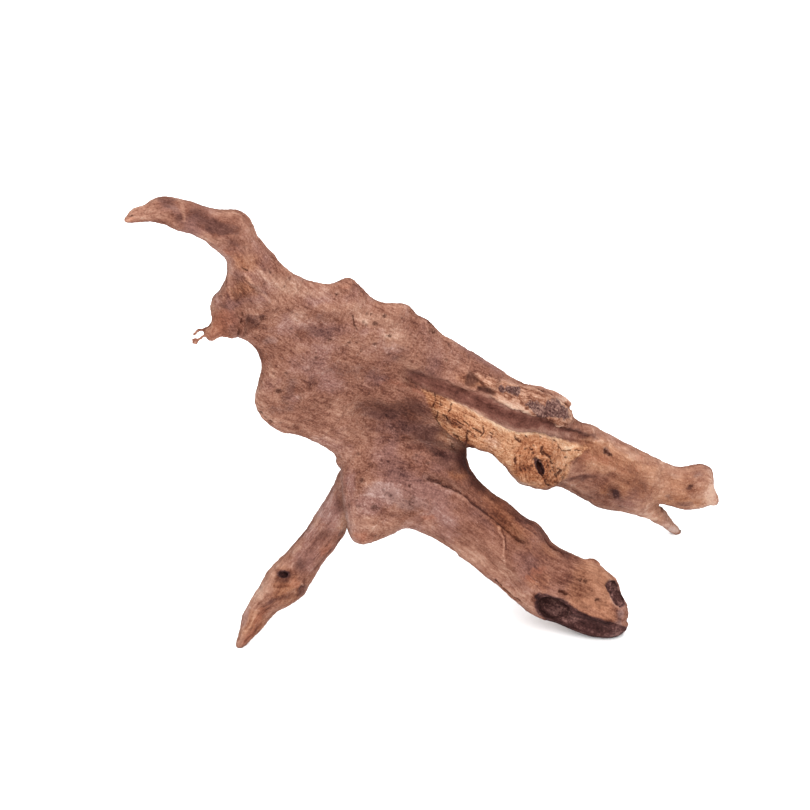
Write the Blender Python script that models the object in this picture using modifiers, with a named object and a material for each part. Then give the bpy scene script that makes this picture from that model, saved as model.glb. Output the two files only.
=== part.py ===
"""Aquarium driftwood: one dry root, split at its main forks into a trunk and five branches.

The tables are in millimetres on a drawing plane that leans back from the viewer: across runs to the
right, up runs up the plane, and back is the distance behind the plane, square to it. The plane passes
through the ground line at the front foot. The mesh is in metres, +Z up, with the ground at z = 0.
"""
import math

import bmesh
import bpy
import numpy as np
from mathutils import Vector, noise

MM = 0.001

# The drawing plane
PLANE_LEAN = math.radians(30.0)
SIN, COS = math.sin(PLANE_LEAN), math.cos(PLANE_LEAN)
RIGHT = np.array((1.0, 0.0, 0.0))
UP = np.array((0.0, SIN, COS))
BACK = np.array((0.0, COS, -SIN))

# Middle of the wood's box on the ground, which becomes the origin
MIDDLE_X, MIDDLE_Y = 8.5, 50.0

# Ribs of each limb, in order along it: the two outline points that face each other, (across, up) and
# (across, up), then how far back the rib's middle lies, then the wood's thickness there
HORN_RIBS = (
    (-140.0, 214.0, -140.0, 212.7, -151, 3), (-136.7, 218.5, -137.0, 212.5, -150, 6),
    (-130.5, 221.0, -130.5, 213.0, -149, 9), (-125.0, 224.3, -124.5, 212.3, -148, 12),
    (-120.5, 225.5, -119.7, 211.2, -147, 14), (-115.5, 224.7, -114.0, 208.5, -145, 15),
    (-106.7, 222.6, -108.2, 207.5, -143, 15), (-99.5, 220.3, -101.7, 204.7, -140, 16),
    (-91.2, 218.5, -97.5, 201.5, -137, 18), (-83.7, 218.2, -93.2, 198.3, -134, 20),
    (-77.2, 213.7, -89.2, 194.5, -130, 21), (-74.1, 205.5, -88.5, 191.0, -126, 22),
    (-69.5, 200.0, -89.0, 185.2, -122, 23), (-62.5, 192.0, -92.7, 178.2, -117, 24),
)
TRUNK_RIBS = (
    (-74.1, 205.5, -88.5, 191.0, -126, 22), (-69.5, 200.0, -89.0, 185.5, -122, 23),
    (-62.5, 192.0, -92.7, 178.2, -117, 24), (-56.5, 187.2, -96.7, 172.0, -113, 25),
    (-50.0, 184.0, -89.5, 155.7, -103, 25), (-43.5, 181.7, -83.5, 155.2, -98, 25),
    (-36.5, 181.5, -77.5, 152.2, -93, 25), (-27.7, 184.2, -73.0, 146.7, -88, 26),
    (-21.5, 179.0, -71.7, 139.5, -82, 27), (-16.0, 174.0, -73.5, 130.5, -77, 28),
    (-10.5, 172.0, -75.0, 122.5, -73, 28), (1.0, 171.0, -71.0, 114.5, -65, 29),
    (5.7, 166.2, -62.2, 107.8, -58, 29), (13.0, 162.2, -53.2, 106.1, -51, 29),
    (17.7, 156.5, -43.5, 102.0, -43, 30), (25.0, 152.5, -34.9, 96.3, -35, 30),
    (32.5, 147.7, -31.6, 89.8, -29, 30), (39.0, 143.5, -2.5, 98.5, -24, 30),
    (50.0, 137.0, 17.5, 100.0, -18, 28),
)
STUB_RIBS = (
    (-82.5, 168.5, -80.0, 154.5, -104, 20), (-91.5, 173.5, -84.5, 155.2, -105, 18),
    (-97.0, 171.5, -89.5, 155.7, -106, 15), (-96.2, 166.5, -93.0, 155.9, -106, 12),
    (-96.0, 163.0, -95.0, 154.7, -107, 10), (-98.2, 160.2, -97.2, 153.2, -107, 8),
    (-100.5, 159.2, -99.2, 155.0, -107, 6), (-102.9, 158.6, -101.7, 155.7, -107, 5),
    (-105.6, 157.4, -104.8, 154.9, -107, 4),
)
LEG_RIBS = (
    (-32.7, 88.7, -20.0, 73.5, -20, 22), (-34.7, 83.0, -26.5, 68.5, -19, 21),
    (-38.5, 75.5, -28.5, 62.5, -18, 20), (-43.5, 68.0, -30.2, 57.0, -17, 19),
    (-47.5, 61.0, -32.7, 53.5, -16, 18), (-53.2, 53.5, -36.0, 48.5, -15, 18),
    (-58.6, 47.2, -39.5, 45.0, -14, 18), (-63.4, 42.2, -42.5, 40.5, -13, 17),
    (-68.5, 36.5, -45.6, 35.2, -11, 17), (-72.5, 30.0, -48.6, 30.4, -9.5, 16),
    (-75.5, 25.0, -50.5, 26.5, -8, 15), (-77.7, 21.0, -55.5, 22.5, -6.5, 14),
    (-80.5, 16.2, -63.4, 18.5, -5, 12), (-81.7, 11.5, -68.5, 13.5, -3.5, 10),
    (-82.7, 7.5, -72.7, 8.2, -2, 9), (-83.7, 4.2, -77.5, 3.2, -0.5, 7),
    (-84.6, 1.0, -80.5, -0.3, 0.5, 6), (-84.0, -0.8, -81.5, -1.3, 1, 4),
)
LOWER_LIMB_RIBS = (
    (-31.5, 93.0, -31.0, 73.5, -31, 18), (-28.0, 105.0, -27.0, 55.9, -32, 21),
    (-20.0, 113.0, -22.5, 51.7, -32, 23), (-8.0, 115.0, -16.5, 52.7, -30, 25),
    (8.0, 110.0, -8.5, 56.0, -25, 28), (28.8, 101.3, -1.0, 59.4, -19.5, 29),
    (30.3, 96.0, 3.5, 59.2, -17.5, 30), (32.5, 89.4, 9.0, 57.2, -15, 30),
    (36.5, 83.7, 16.0, 53.7, -13, 30),
    (42.2, 78.1, 23.5, 49.0, -11, 29), (48.8, 73.6, 29.0, 44.5, -8.5, 29),
    (53.5, 70.2, 34.5, 40.5, -7, 29), (60.0, 64.2, 40.0, 35.7, -5, 29),
    (66.0, 61.5, 46.8, 30.7, -3.5, 29), (69.7, 57.6, 52.6, 25.1, -2, 29),
    (73.1, 52.5, 56.6, 21.8, -1, 29), (77.5, 49.0, 61.6, 17.9, 0, 30),
    (83.0, 46.4, 67.7, 14.7, 1, 30), (89.8, 43.2, 75.7, 12.3, 2.5, 30),
    (96.5, 41.0, 84.5, 8.5, 4, 30), (101.5, 36.7, 92.5, 5.8, 5.5, 29),
    (105.5, 33.5, 99.5, 4.8, 6.5, 27), (107.5, 27.5, 104.5, 5.3, 6.5, 24),
    (110.5, 22.0, 108.5, 7.0, 6, 16), (111.3, 17.2, 111.0, 10.0, 6, 8),
)
UPPER_LIMB_RIBS = (
    (32.5, 148.0, 10.0, 103.5, -24, 30), (44.0, 140.5, 23.5, 100.5, -18, 30),
    (53.0, 135.0, 32.7, 100.2, -12, 30), (60.0, 131.5, 41.0, 98.2, -5, 30),
    (67.7, 129.6, 46.5, 95.5, 2, 30), (72.0, 128.0, 50.2, 90.7, 7, 30),
    (77.5, 125.2, 53.5, 87.5, 12, 30), (82.2, 121.2, 57.2, 82.3, 18, 31),
    (83.7, 116.2, 64.5, 80.3, 23, 31), (86.0, 113.0, 70.5, 78.6, 28, 31),
    (93.5, 110.7, 75.5, 80.8, 35, 30), (98.0, 108.0, 82.5, 78.0, 41, 30),
    (105.5, 104.0, 91.5, 73.0, 49, 30), (113.0, 100.2, 97.5, 69.7, 55, 29),
    (120.8, 96.4, 108.5, 67.8, 63, 27), (126.2, 94.1, 117.5, 66.5, 69, 24),
    (131.0, 91.8, 125.0, 72.0, 74, 21), (138.5, 90.1, 133.5, 71.0, 79, 20),
    (143.0, 90.7, 138.5, 69.5, 82, 21), (148.0, 91.6, 143.5, 69.5, 85, 21),
    (152.7, 89.9, 148.5, 70.0, 87, 19), (154.0, 86.5, 151.5, 71.2, 88, 15),
    (153.9, 81.0, 155.0, 71.2, 88, 9), (156.7, 74.5, 157.0, 72.5, 88, 4),
)
PRONG_RIBS = (
    (120.0, 78.5, 113.5, 67.0, 68, 18), (124.8, 72.0, 120.7, 64.8, 77, 12),
    (127.5, 70.2, 125.0, 62.7, 82, 10), (131.2, 65.9, 129.6, 60.1, 89, 8),
    (133.4, 62.3, 132.4, 58.0, 94, 7), (137.3, 58.2, 135.4, 56.0, 99, 6),
    (137.9, 57.2, 136.4, 55.2, 100.5, 4),
)
BROKEN_RIDGE_RIBS = (
    (11.5, 129.0, 13.0, 123.5, -39, 6), (15.5, 127.0, 16.0, 114.5, -37, 10),
    (21.0, 124.5, 20.5, 108.5, -35, 13), (26.5, 122.5, 26.0, 103.5, -32, 14),
    (31.5, 120.0, 32.0, 101.2, -29, 15), (37.5, 116.5, 37.5, 98.7, -25, 15),
    (43.0, 114.0, 43.3, 97.0, -21, 15), (49.0, 111.5, 47.0, 93.5, -15, 15),
    (54.5, 108.5, 50.3, 89.7, -9, 17), (60.5, 108.0, 54.5, 85.0, -3, 20),
    (67.5, 108.0, 59.5, 81.5, 3, 22), (73.5, 105.5, 67.5, 79.2, 9, 22),
    (78.0, 101.5, 73.5, 80.2, 17, 18), (82.0, 96.0, 78.5, 83.5, 25, 12),
)
LIMBS = (HORN_RIBS, TRUNK_RIBS, STUB_RIBS, LEG_RIBS, LOWER_LIMB_RIBS, UPPER_LIMB_RIBS, PRONG_RIBS,
         BROKEN_RIDGE_RIBS)
RIB_STEP = 2.0
RING_SIDES = 32
RING_SQUARENESS = 0.88

# Relief on the side that faces the drawing plane: a line of (across, up), half its width, and how far
# the wood stands up along it, or down where the height is negative
FACE_RELIEF = (
    # Long dark groove above the broken ridge
    (((1.5, 136), (11.5, 131.5), (26, 126.5), (40, 120.5), (53.5, 113.5), (67.5, 110.5), (82.5, 105),
      (90, 103.5)), 5.5, -4.5),
    # Bark that still lies on the upper limb
    (((34, 138), (47, 130), (62, 122.5), (78, 115.5)), 8.0, 2.2),
    # Hollow where the limbs part, under the broken ridge
    (((-18, 117), (-4, 114), (10, 109), (24, 103)), 11.0, -6.5),
    # Swelling of the belly, its edge, and the furrow that runs down the lower limb
    (((-14, 79), (-7, 77)), 15.0, 3.5),
    (((11, 84.5), (19.5, 82), (29, 78.2), (37.5, 73), (44.5, 67), (51, 59.5), (59, 51.5)), 3.5, -2.8),
    (((20, 91), (32, 84), (42, 75), (52, 65)), 5.0, -2.0),
    (((30, 62), (45, 50), (60, 36), (75, 29)), 7.0, 1.8),
    # Fold that comes down from the horn, and the crease beside it
    (((-84, 196), (-81.5, 187), (-74.2, 177.5), (-66, 171.5)), 5.0, 2.6),
    (((-86, 183), (-81, 174), (-76, 168), (-77, 160)), 4.0, -2.4),
    # Swells and dips across the trunk
    (((-58, 170), (-40, 168), (-26, 172)), 8.0, 2.0),
    (((-49, 146), (-48.5, 123)), 5.0, 2.0),
    (((-60, 132), (-52, 112)), 7.0, -2.0),
    (((-24, 158), (-8, 150), (6, 143)), 8.0, 2.0),
    (((-36, 150), (-20, 136), (-8, 128)), 7.0, -1.8),
    (((12, 152), (28, 143)), 6.0, 1.6),
    # Horn: a long dip on its face
    (((-106, 214), (-98, 209.5), (-90, 207)), 5.0, -1.8),
    # Upper limb beyond the burl
    (((86, 97), (100, 91), (114, 84)), 5.0, 1.8),
    (((92, 104), (106, 98), (120, 90)), 4.0, -1.6),
    (((128, 86), (140, 79)), 4.0, -1.5),
)

# Hollows rotted into the wood: middle as (across, up, back), half sizes along, across and through,
# and the turn of the long side on the drawing plane, in degrees
HOLLOWS = (
    # Mouth of the lower limb's rotten end, and the hole in its end
    ((74.5, 19.5, -8.0), (9.5, 6.3, 10.5), -25.0),
    ((91.0, 8.5, -8.5), (19.0, 6.3, 9.5), -16.0),
    ((106.5, 27.0, -1.5), (3.4, 6.5, 5.5), 15.0),
    # Knot hole in the left leg
    ((-60.5, 36.3, -19.5), (3.8, 2.1, 5.0), -5.0),
    # Hole near the end of the upper limb
    ((106.0, 75.5, 43.0), (1.3, 2.6, 4.5), 20.0),
    # Hole in the burl
    ((67.6, 90.0, -4.0), (4.8, 2.2, 6.0), -60.0),
)

# Lumps of the side that faces away, which is plain worn wood
FAR_SIDE_SWELL = 2.6
FAR_SIDE_SWELL_LENGTH = 26.0

# Each fork: a region of the drawing plane. Its first edge is the line where the limb is parted
FORKS = {
    "horn_branch": ((-58.0, 221.7), (-100.0, 179.4), (-165.0, 179.4), (-165.0, 245.0), (-58.0, 245.0)),
    "left_stub": ((-103.0, 179.8), (-82.5, 146.6), (-125.0, 146.6), (-125.0, 179.8)),
    "left_leg": ((-37.5, 85.4), (-28.7, 51.0), (-28.7, -30.0), (-120.0, -30.0), (-120.0, 85.4)),
    "lower_right_limb": ((33.5, 95.0), (-1.7, 54.5), (-1.7, -30.0), (175.0, -30.0), (175.0, 38.0),
                         (120.0, 48.0), (50.0, 79.0)),
    "upper_right_limb": ((33.5, 97.5), (52.0, 149.1), (175.0, 149.1), (175.0, 40.0), (120.0, 50.0),
                         (50.0, 81.0)),
}
TRUNK = "trunk"
SEAM_GAP = 0.3
REACH_BACK = 260.0

VOXEL = 1.3
SMOOTH_PASSES = 4
SMOOTHING_LOSS = 0.4
TRIANGLE_BUDGET = 8600

# Colour and roughness of each piece
FINISHES = {
    TRUNK: ((0.30, 0.165, 0.125), 0.88),
    "horn_branch": ((0.33, 0.18, 0.125), 0.85),
    "left_stub": ((0.34, 0.16, 0.09), 0.90),
    "left_leg": ((0.29, 0.15, 0.10), 0.88),
    "lower_right_limb": ((0.32, 0.18, 0.13), 0.82),
    "upper_right_limb": ((0.42, 0.24, 0.14), 0.85),
}


def on_plane(across, up, back=0.0):
    """Point in metres, from its place on the drawing plane and behind it."""
    point = RIGHT * across + UP * up + BACK * back - np.array((MIDDLE_X, MIDDLE_Y, 0.0))
    return point * MM


def clear_scene():
    for obj in list(bpy.data.objects):
        bpy.data.objects.remove(obj, do_unlink=True)


def new_collection(name):
    collection = bpy.data.collections.new(name)
    bpy.context.scene.collection.children.link(collection)
    return collection


def add_object(name, mesh, collection):
    obj = bpy.data.objects.new(name, mesh)
    collection.objects.link(obj)
    return obj


def smooth_rows(rows, step):
    """The rows joined by a Catmull-Rom curve, with a row about every step millimetres."""
    rows = np.array(rows, dtype=float)
    last = len(rows) - 1
    curve = []
    for i in range(last):
        before, start, end, after = (rows[k] for k in (max(i - 1, 0), i, i + 1, min(i + 2, last)))
        apart = np.linalg.norm((end - start)[:4]) / math.sqrt(2.0)
        count = max(1, round(apart / step))
        for k in range(count):
            t = k / count
            curve.append(0.5 * (2.0 * start + (end - before) * t
                                + (2.0 * before - 5.0 * start + 4.0 * end - after) * t ** 2
                                + (3.0 * start - before - 3.0 * end + after) * t ** 3))
    curve.append(rows[last])
    return curve


def rib_ring(rib):
    """Points of a rounded section through a rib's two outline points."""
    upper, lower = np.array(rib[0:2]), np.array(rib[2:4])
    middle = (upper + lower) / 2.0
    reach = (upper - lower) / 2.0
    for k in range(RING_SIDES):
        angle = 2.0 * math.pi * k / RING_SIDES
        side = math.copysign(abs(math.cos(angle)) ** RING_SQUARENESS, math.cos(angle))
        through = math.copysign(abs(math.sin(angle)) ** RING_SQUARENESS, math.sin(angle))
        across, up = middle + reach * side
        yield on_plane(across, up, rib[4] + through * rib[5] / 2.0)


def add_loft(bm, ribs):
    """A closed skin over one limb's ribs."""
    rings = [[bm.verts.new(p) for p in rib_ring(rib)] for rib in smooth_rows(ribs, RIB_STEP)]
    for near, far in zip(rings, rings[1:]):
        for k in range(RING_SIDES):
            n = (k + 1) % RING_SIDES
            bm.faces.new((near[k], near[n], far[n], far[k]))
    bm.faces.new(rings[0][::-1])
    bm.faces.new(rings[-1])


def baked(obj):
    """The object's mesh with its modifiers applied."""
    depsgraph = bpy.context.evaluated_depsgraph_get()
    return bpy.data.meshes.new_from_object(obj.evaluated_get(depsgraph))


def apply_modifiers(obj):
    mesh = baked(obj)
    obj.modifiers.clear()
    obj.data = mesh


def add_remesh(obj):
    remesh = obj.modifiers.new("Grown together", "REMESH")
    remesh.mode = "VOXEL"
    remesh.voxel_size = VOXEL * MM
    remesh.adaptivity = 0.0


def add_smooth(obj, passes):
    smooth = obj.modifiers.new("Worn smooth", "SMOOTH")
    smooth.factor = 0.5
    smooth.iterations = passes


def add_boolean(obj, cutter, operation):
    boolean = obj.modifiers.new(cutter.name, "BOOLEAN")
    boolean.operation = operation
    boolean.solver = "EXACT"
    boolean.object = cutter


def as_cutter(obj):
    obj.hide_render = True
    obj.display_type = "WIRE"
    return obj


def joined_limbs(collection):
    """All limbs and the broken ridge, grown together in one skin."""
    mesh = bpy.data.meshes.new("limbs")
    bm = bmesh.new()
    for ribs in LIMBS:
        add_loft(bm, ribs)
    bmesh.ops.recalc_face_normals(bm, faces=bm.faces)
    bm.to_mesh(mesh)
    bm.free()
    body = as_cutter(add_object("driftwood_whole", mesh, collection))
    add_remesh(body)
    add_smooth(body, SMOOTH_PASSES)
    apply_modifiers(body)
    return body


def distance_to_line(points, line):
    """Shortest distance on the drawing plane from each point to a line of points."""
    nearest = np.full(len(points), np.inf)
    for start, end in zip(line, line[1:]):
        start, run = np.array(start, dtype=float), np.subtract(end, start)
        along = np.clip((points - start) @ run / (run @ run), 0.0, 1.0)
        gap = np.linalg.norm(points - start - along[:, None] * run, axis=1)
        nearest = np.minimum(nearest, gap)
    return nearest


def carve_relief(body):
    """Ridges, grooves and swells on the near side, and slow swells on the far side."""
    mesh = body.data
    count = len(mesh.vertices)
    co = np.empty(count * 3)
    normal = np.empty(count * 3)
    mesh.vertices.foreach_get("co", co)
    mesh.vertex_normals.foreach_get("vector", normal)
    co, normal = co.reshape(-1, 3), normal.reshape(-1, 3)
    flat = (co / MM + np.array((MIDDLE_X, MIDDLE_Y, 0.0))) @ np.stack((RIGHT, UP), axis=1)
    facing = np.clip(normal @ -BACK * 2.0, 0.0, 1.0)
    rise = np.zeros(count)
    for line, half_width, height in FACE_RELIEF:
        near = np.clip(1.0 - (distance_to_line(flat, line) / half_width) ** 2, 0.0, 1.0)
        rise += height * near ** 2
    co += (rise * facing * MM)[:, None] * -BACK
    swell = np.array([noise.noise(Vector(p) / (FAR_SIDE_SWELL_LENGTH * MM)) for p in co])
    away = np.clip(normal @ BACK * 1.5, 0.0, 1.0)
    co += ((swell * away * FAR_SIDE_SWELL + SMOOTHING_LOSS) * MM)[:, None] * normal
    mesh.vertices.foreach_set("co", co.ravel())
    mesh.update()


def hollow_cutter(number, middle, half_sizes, turn, collection):
    """An egg-shaped cutter for one rotted hollow."""
    mesh = bpy.data.meshes.new(f"hollow_{number}")
    bm = bmesh.new()
    bmesh.ops.create_uvsphere(bm, u_segments=24, v_segments=14, radius=1.0)
    angle = math.radians(turn)
    along = math.cos(angle) * RIGHT + math.sin(angle) * UP
    across = math.cos(angle) * UP - math.sin(angle) * RIGHT
    axes = np.stack([axis * size * MM for axis, size in zip((along, across, -BACK), half_sizes)])
    for vert in bm.verts:
        vert.co = Vector(np.array(vert.co) @ axes + on_plane(*middle))
    bm.to_mesh(mesh)
    bm.free()
    return as_cutter(add_object(mesh.name, mesh, collection))


def ground_cutter(collection):
    """Everything below the ground, which wears the three feet flat."""
    mesh = bpy.data.meshes.new("ground")
    bm = bmesh.new()
    bmesh.ops.create_cube(bm, size=1.0)
    bmesh.ops.translate(bm, verts=bm.verts, vec=(0.0, 0.0, -0.5))
    bm.to_mesh(mesh)
    bm.free()
    return as_cutter(add_object("ground", mesh, collection))


def fork_cutter(name, outline, collection):
    """A prism over one region of the drawing plane, right through the wood."""
    mesh = bpy.data.meshes.new(name)
    bm = bmesh.new()
    near = bm.faces.new([bm.verts.new(on_plane(across, up, -REACH_BACK)) for across, up in outline])
    far = bmesh.ops.extrude_face_region(bm, geom=[near])
    far_verts = [item for item in far["geom"] if isinstance(item, bmesh.types.BMVert)]
    bmesh.ops.translate(bm, verts=far_verts, vec=BACK * 2.0 * REACH_BACK * MM)
    bmesh.ops.recalc_face_normals(bm, faces=bm.faces)
    bm.to_mesh(mesh)
    bm.free()
    return as_cutter(add_object(name, mesh, collection))


def widened(outline, gap):
    """The region with its first edge moved outwards, away from its other points."""
    start, end = np.array(outline[0]), np.array(outline[1])
    run = (end - start) / np.linalg.norm(end - start)
    outward = np.array((run[1], -run[0]))
    if (np.mean(outline, axis=0) - start) @ outward > 0.0:
        outward = -outward
    return (tuple(start + outward * gap), tuple(end + outward * gap)) + outline[2:]


def wood_material(name):
    colour, roughness = FINISHES[name]
    material = bpy.data.materials.new(name + "_wood")
    material.use_nodes = True
    shader = material.node_tree.nodes["Principled BSDF"]
    shader.inputs["Base Color"].default_value = (*colour, 1.0)
    shader.inputs["Roughness"].default_value = roughness
    shader.inputs["Metallic"].default_value = 0.0
    return material


def shape_whole(collection):
    """The whole piece of wood before it is parted: relief, hollows, plain faces, flat feet."""
    body = joined_limbs(collection)
    carve_relief(body)
    for number, (middle, half_sizes, turn) in enumerate(HOLLOWS, start=1):
        add_boolean(body, hollow_cutter(number, middle, half_sizes, turn, collection), "DIFFERENCE")
    add_remesh(body)
    add_smooth(body, 1)
    apply_modifiers(body)
    body.data.calc_loop_triangles()
    decimate = body.modifiers.new("Fewer faces", "DECIMATE")
    decimate.ratio = TRIANGLE_BUDGET / len(body.data.loop_triangles)
    add_boolean(body, ground_cutter(collection), "DIFFERENCE")
    apply_modifiers(body)
    return body


def part_pieces(body, pieces, cutters):
    """The trunk and each limb, with a narrow gap at every fork."""
    trunk = add_object(TRUNK, body.data.copy(), pieces)
    for name, outline in FORKS.items():
        limb = add_object(name, body.data.copy(), pieces)
        add_boolean(limb, fork_cutter(name + "_region", outline, cutters), "INTERSECT")
        add_boolean(trunk, fork_cutter(name + "_gap", widened(outline, SEAM_GAP), cutters), "DIFFERENCE")
    for piece in pieces.objects:
        piece.data.materials.clear()
        piece.data.materials.append(wood_material(piece.name))


def main():
    clear_scene()
    pieces = new_collection("aquarium_driftwood")
    cutters = new_collection("cutters")
    part_pieces(shape_whole(cutters), pieces, cutters)


main()
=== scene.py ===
"""Aquarium driftwood, dressed for its picture: the worn skin of the trunk and its five limbs.

The tables are in millimetres on the drawing plane, which leans back from the viewer: across runs to
the right, up runs up the plane, and back is the distance behind it. The ribs, the main relief and the
forks are those of the solids. The meshes are in metres, +Z up, with the ground at z = 0.
"""
import functools
import itertools
import math

import bmesh
import bpy
import numpy as np
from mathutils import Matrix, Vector, noise


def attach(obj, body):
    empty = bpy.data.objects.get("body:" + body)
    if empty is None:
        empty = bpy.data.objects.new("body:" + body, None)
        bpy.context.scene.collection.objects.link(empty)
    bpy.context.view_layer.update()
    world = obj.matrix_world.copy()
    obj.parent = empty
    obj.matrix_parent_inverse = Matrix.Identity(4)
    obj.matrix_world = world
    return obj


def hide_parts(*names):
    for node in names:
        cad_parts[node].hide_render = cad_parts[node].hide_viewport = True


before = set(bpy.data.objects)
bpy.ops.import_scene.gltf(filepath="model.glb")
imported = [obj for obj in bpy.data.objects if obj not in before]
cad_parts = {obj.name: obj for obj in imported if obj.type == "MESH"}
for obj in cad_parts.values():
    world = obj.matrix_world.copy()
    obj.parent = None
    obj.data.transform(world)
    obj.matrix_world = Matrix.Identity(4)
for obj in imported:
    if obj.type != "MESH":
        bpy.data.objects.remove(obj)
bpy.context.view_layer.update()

MM = 0.001

# The drawing plane, and the middle of the wood's box on the ground
PLANE_LEAN = math.radians(30.0)
SIN, COS = math.sin(PLANE_LEAN), math.cos(PLANE_LEAN)
RIGHT = np.array((1.0, 0.0, 0.0))
UP = np.array((0.0, SIN, COS))
BACK = np.array((0.0, COS, -SIN))
MIDDLE_X, MIDDLE_Y = 8.5, 50.0

# Ribs of each limb, in order along it: the two outline points that face each other, (across, up) and
# (across, up), then how far back the rib's middle lies, then the wood's thickness there
HORN_RIBS = (
    (-140, 214, -140, 212.7, -151, 3), (-136.7, 218.5, -137, 212.5, -150, 6),
    (-130.5, 221, -130.5, 213, -149, 9), (-125, 224.3, -124.5, 212.3, -148, 12),
    (-120.5, 225.5, -119.7, 211.2, -147, 14), (-115.5, 224.7, -114, 208.5, -145, 15),
    (-106.7, 222.6, -108.2, 207.5, -143, 15), (-99.5, 220.3, -101.7, 204.7, -140, 16),
    (-91.2, 218.5, -97.5, 201.5, -137, 18), (-83.7, 218.2, -93.2, 198.3, -134, 20),
    (-77.2, 213.7, -89.2, 194.5, -130, 21), (-74.1, 205.5, -88.5, 191, -126, 22),
    (-69.5, 200, -89, 185.2, -122, 23), (-62.5, 192, -92.7, 178.2, -117, 24),
)
TRUNK_RIBS = (
    (-74.1, 205.5, -88.5, 191, -126, 22), (-69.5, 200, -89, 185.5, -122, 23),
    (-62.5, 192, -92.7, 178.2, -117, 24), (-56.5, 187.2, -96.7, 172, -113, 25),
    (-50, 184, -89.5, 155.7, -103, 25), (-43.5, 181.7, -83.5, 155.2, -98, 25),
    (-36.5, 181.5, -77.5, 152.2, -93, 25), (-27.7, 184.2, -73, 146.7, -88, 26),
    (-21.5, 179, -71.7, 139.5, -82, 27), (-16, 174, -73.5, 130.5, -77, 28),
    (-10.5, 172, -75, 122.5, -73, 28), (1, 171, -71, 114.5, -65, 29),
    (5.7, 166.2, -62.2, 107.8, -58, 29), (13, 162.2, -53.2, 106.1, -51, 29),
    (17.7, 156.5, -43.5, 102, -43, 30), (25, 152.5, -34.9, 96.3, -35, 30),
    (32.5, 147.7, -31.6, 89.8, -29, 30), (39, 143.5, -2.5, 98.5, -24, 30),
    (50, 137, 17.5, 100, -18, 28),
)
STUB_RIBS = (
    (-82.5, 168.5, -80, 154.5, -104, 20), (-91.5, 173.5, -84.5, 155.2, -105, 18),
    (-97, 171.5, -89.5, 155.7, -106, 15), (-96.2, 166.5, -93, 155.9, -106, 12),
    (-96, 163, -95, 154.7, -107, 10), (-98.2, 160.2, -97.2, 153.2, -107, 8),
    (-100.9, 159, -99.8, 155.4, -107, 5),
)
LEG_RIBS = (
    (-32.7, 88.7, -20, 73.5, -20, 22), (-34.7, 83, -26.5, 68.5, -19, 21),
    (-38.5, 75.5, -28.5, 62.5, -18, 20), (-43.5, 68, -30.2, 57, -17, 19),
    (-47.5, 61, -32.7, 53.5, -16, 18), (-53.2, 53.5, -36, 48.5, -15, 18),
    (-58.6, 47.2, -39.5, 45, -14, 18), (-63.4, 42.2, -42.5, 40.5, -13, 17),
    (-68.5, 36.5, -45.6, 35.2, -11, 17), (-72.5, 30, -48.6, 30.4, -9.5, 16),
    (-75.5, 25, -50.5, 26.5, -8, 15), (-77.7, 21, -55.5, 22.5, -6.5, 14),
    (-80.5, 16.2, -63.4, 18.5, -5, 12), (-81.7, 11.5, -68.5, 13.5, -3.5, 10),
    (-82.7, 7.5, -72.7, 8.2, -2, 9), (-83.7, 4.2, -77.5, 3.2, -0.5, 7),
    (-84.6, 1, -80.5, -0.3, 0.5, 6), (-84, -0.8, -81.5, -1.3, 1, 4),
)
LOWER_LIMB_RIBS = (
    (-31.5, 93, -31, 73.5, -31, 18), (-28, 105, -27, 55.9, -32, 21),
    (-20, 113, -22.5, 51.7, -32, 23), (-8, 115, -16.5, 52.7, -30, 25),
    (8, 110, -8.5, 56, -25, 28), (28.8, 101.3, -1, 59.4, -19.5, 29),
    (30.3, 96, 3.5, 59.2, -17.5, 30), (32.5, 89.4, 9, 57.2, -15, 30),
    (36.5, 83.7, 16, 53.7, -13, 30),
    (42.2, 78.1, 23.5, 49, -11, 29), (48.8, 73.6, 29, 44.5, -8.5, 29),
    (53.5, 70.2, 34.5, 40.5, -7, 29), (60, 64.2, 40, 35.7, -5, 29),
    (66, 61.5, 46.8, 30.7, -3.5, 29), (69.7, 57.6, 52.6, 25.1, -2, 29),
    (73.1, 52.5, 56.6, 21.8, -1, 29), (77.5, 49, 61.6, 17.9, 0, 30),
    (83, 46.4, 67.7, 14.7, 1, 30), (89.8, 43.2, 75.7, 12.3, 2.5, 30),
    (96.5, 41, 84.5, 8.5, 4, 30), (101.5, 36.7, 92.5, 5.8, 5.5, 29),
    (105.5, 33.5, 99.5, 4.8, 6.5, 27), (107.5, 27.5, 104.5, 5.3, 6.5, 24),
    (110.5, 22, 108.5, 7, 6, 16), (111.3, 17.2, 111, 10, 6, 8),
)
UPPER_LIMB_RIBS = (
    (32.5, 148, 10, 103.5, -24, 30), (44, 140.5, 23.5, 100.5, -18, 30),
    (53, 135, 32.7, 100.2, -12, 30), (60, 131.5, 41, 98.2, -5, 30),
    (67.7, 129.6, 46.5, 95.5, 2, 30), (72, 128, 50.2, 90.7, 7, 30),
    (77.5, 125.2, 53.5, 87.5, 12, 30), (82.2, 121.2, 57.2, 82.3, 18, 31),
    (83.7, 116.2, 64.5, 80.3, 23, 31), (86, 113, 70.5, 78.6, 28, 31),
    (93.5, 110.7, 75.5, 80.8, 35, 30), (98, 108, 82.5, 78, 41, 30),
    (105.5, 104, 91.5, 73, 49, 30), (113, 100.2, 97.5, 69.7, 55, 29),
    (120.8, 96.4, 108.5, 67.8, 63, 27), (126.2, 94.1, 117.5, 66.5, 69, 24),
    (131, 91.8, 125, 72, 74, 21), (138.5, 90.1, 133.5, 71, 79, 20),
    (143, 90.7, 138.5, 69.5, 82, 21), (148, 91.6, 143.5, 69.5, 85, 21),
    (152.7, 89.9, 148.5, 70, 87, 19), (154, 86.5, 151.5, 71.2, 88, 15),
    (153.9, 81, 155, 71.2, 88, 9), (156.7, 74.5, 157, 72.5, 88, 4),
)
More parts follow.
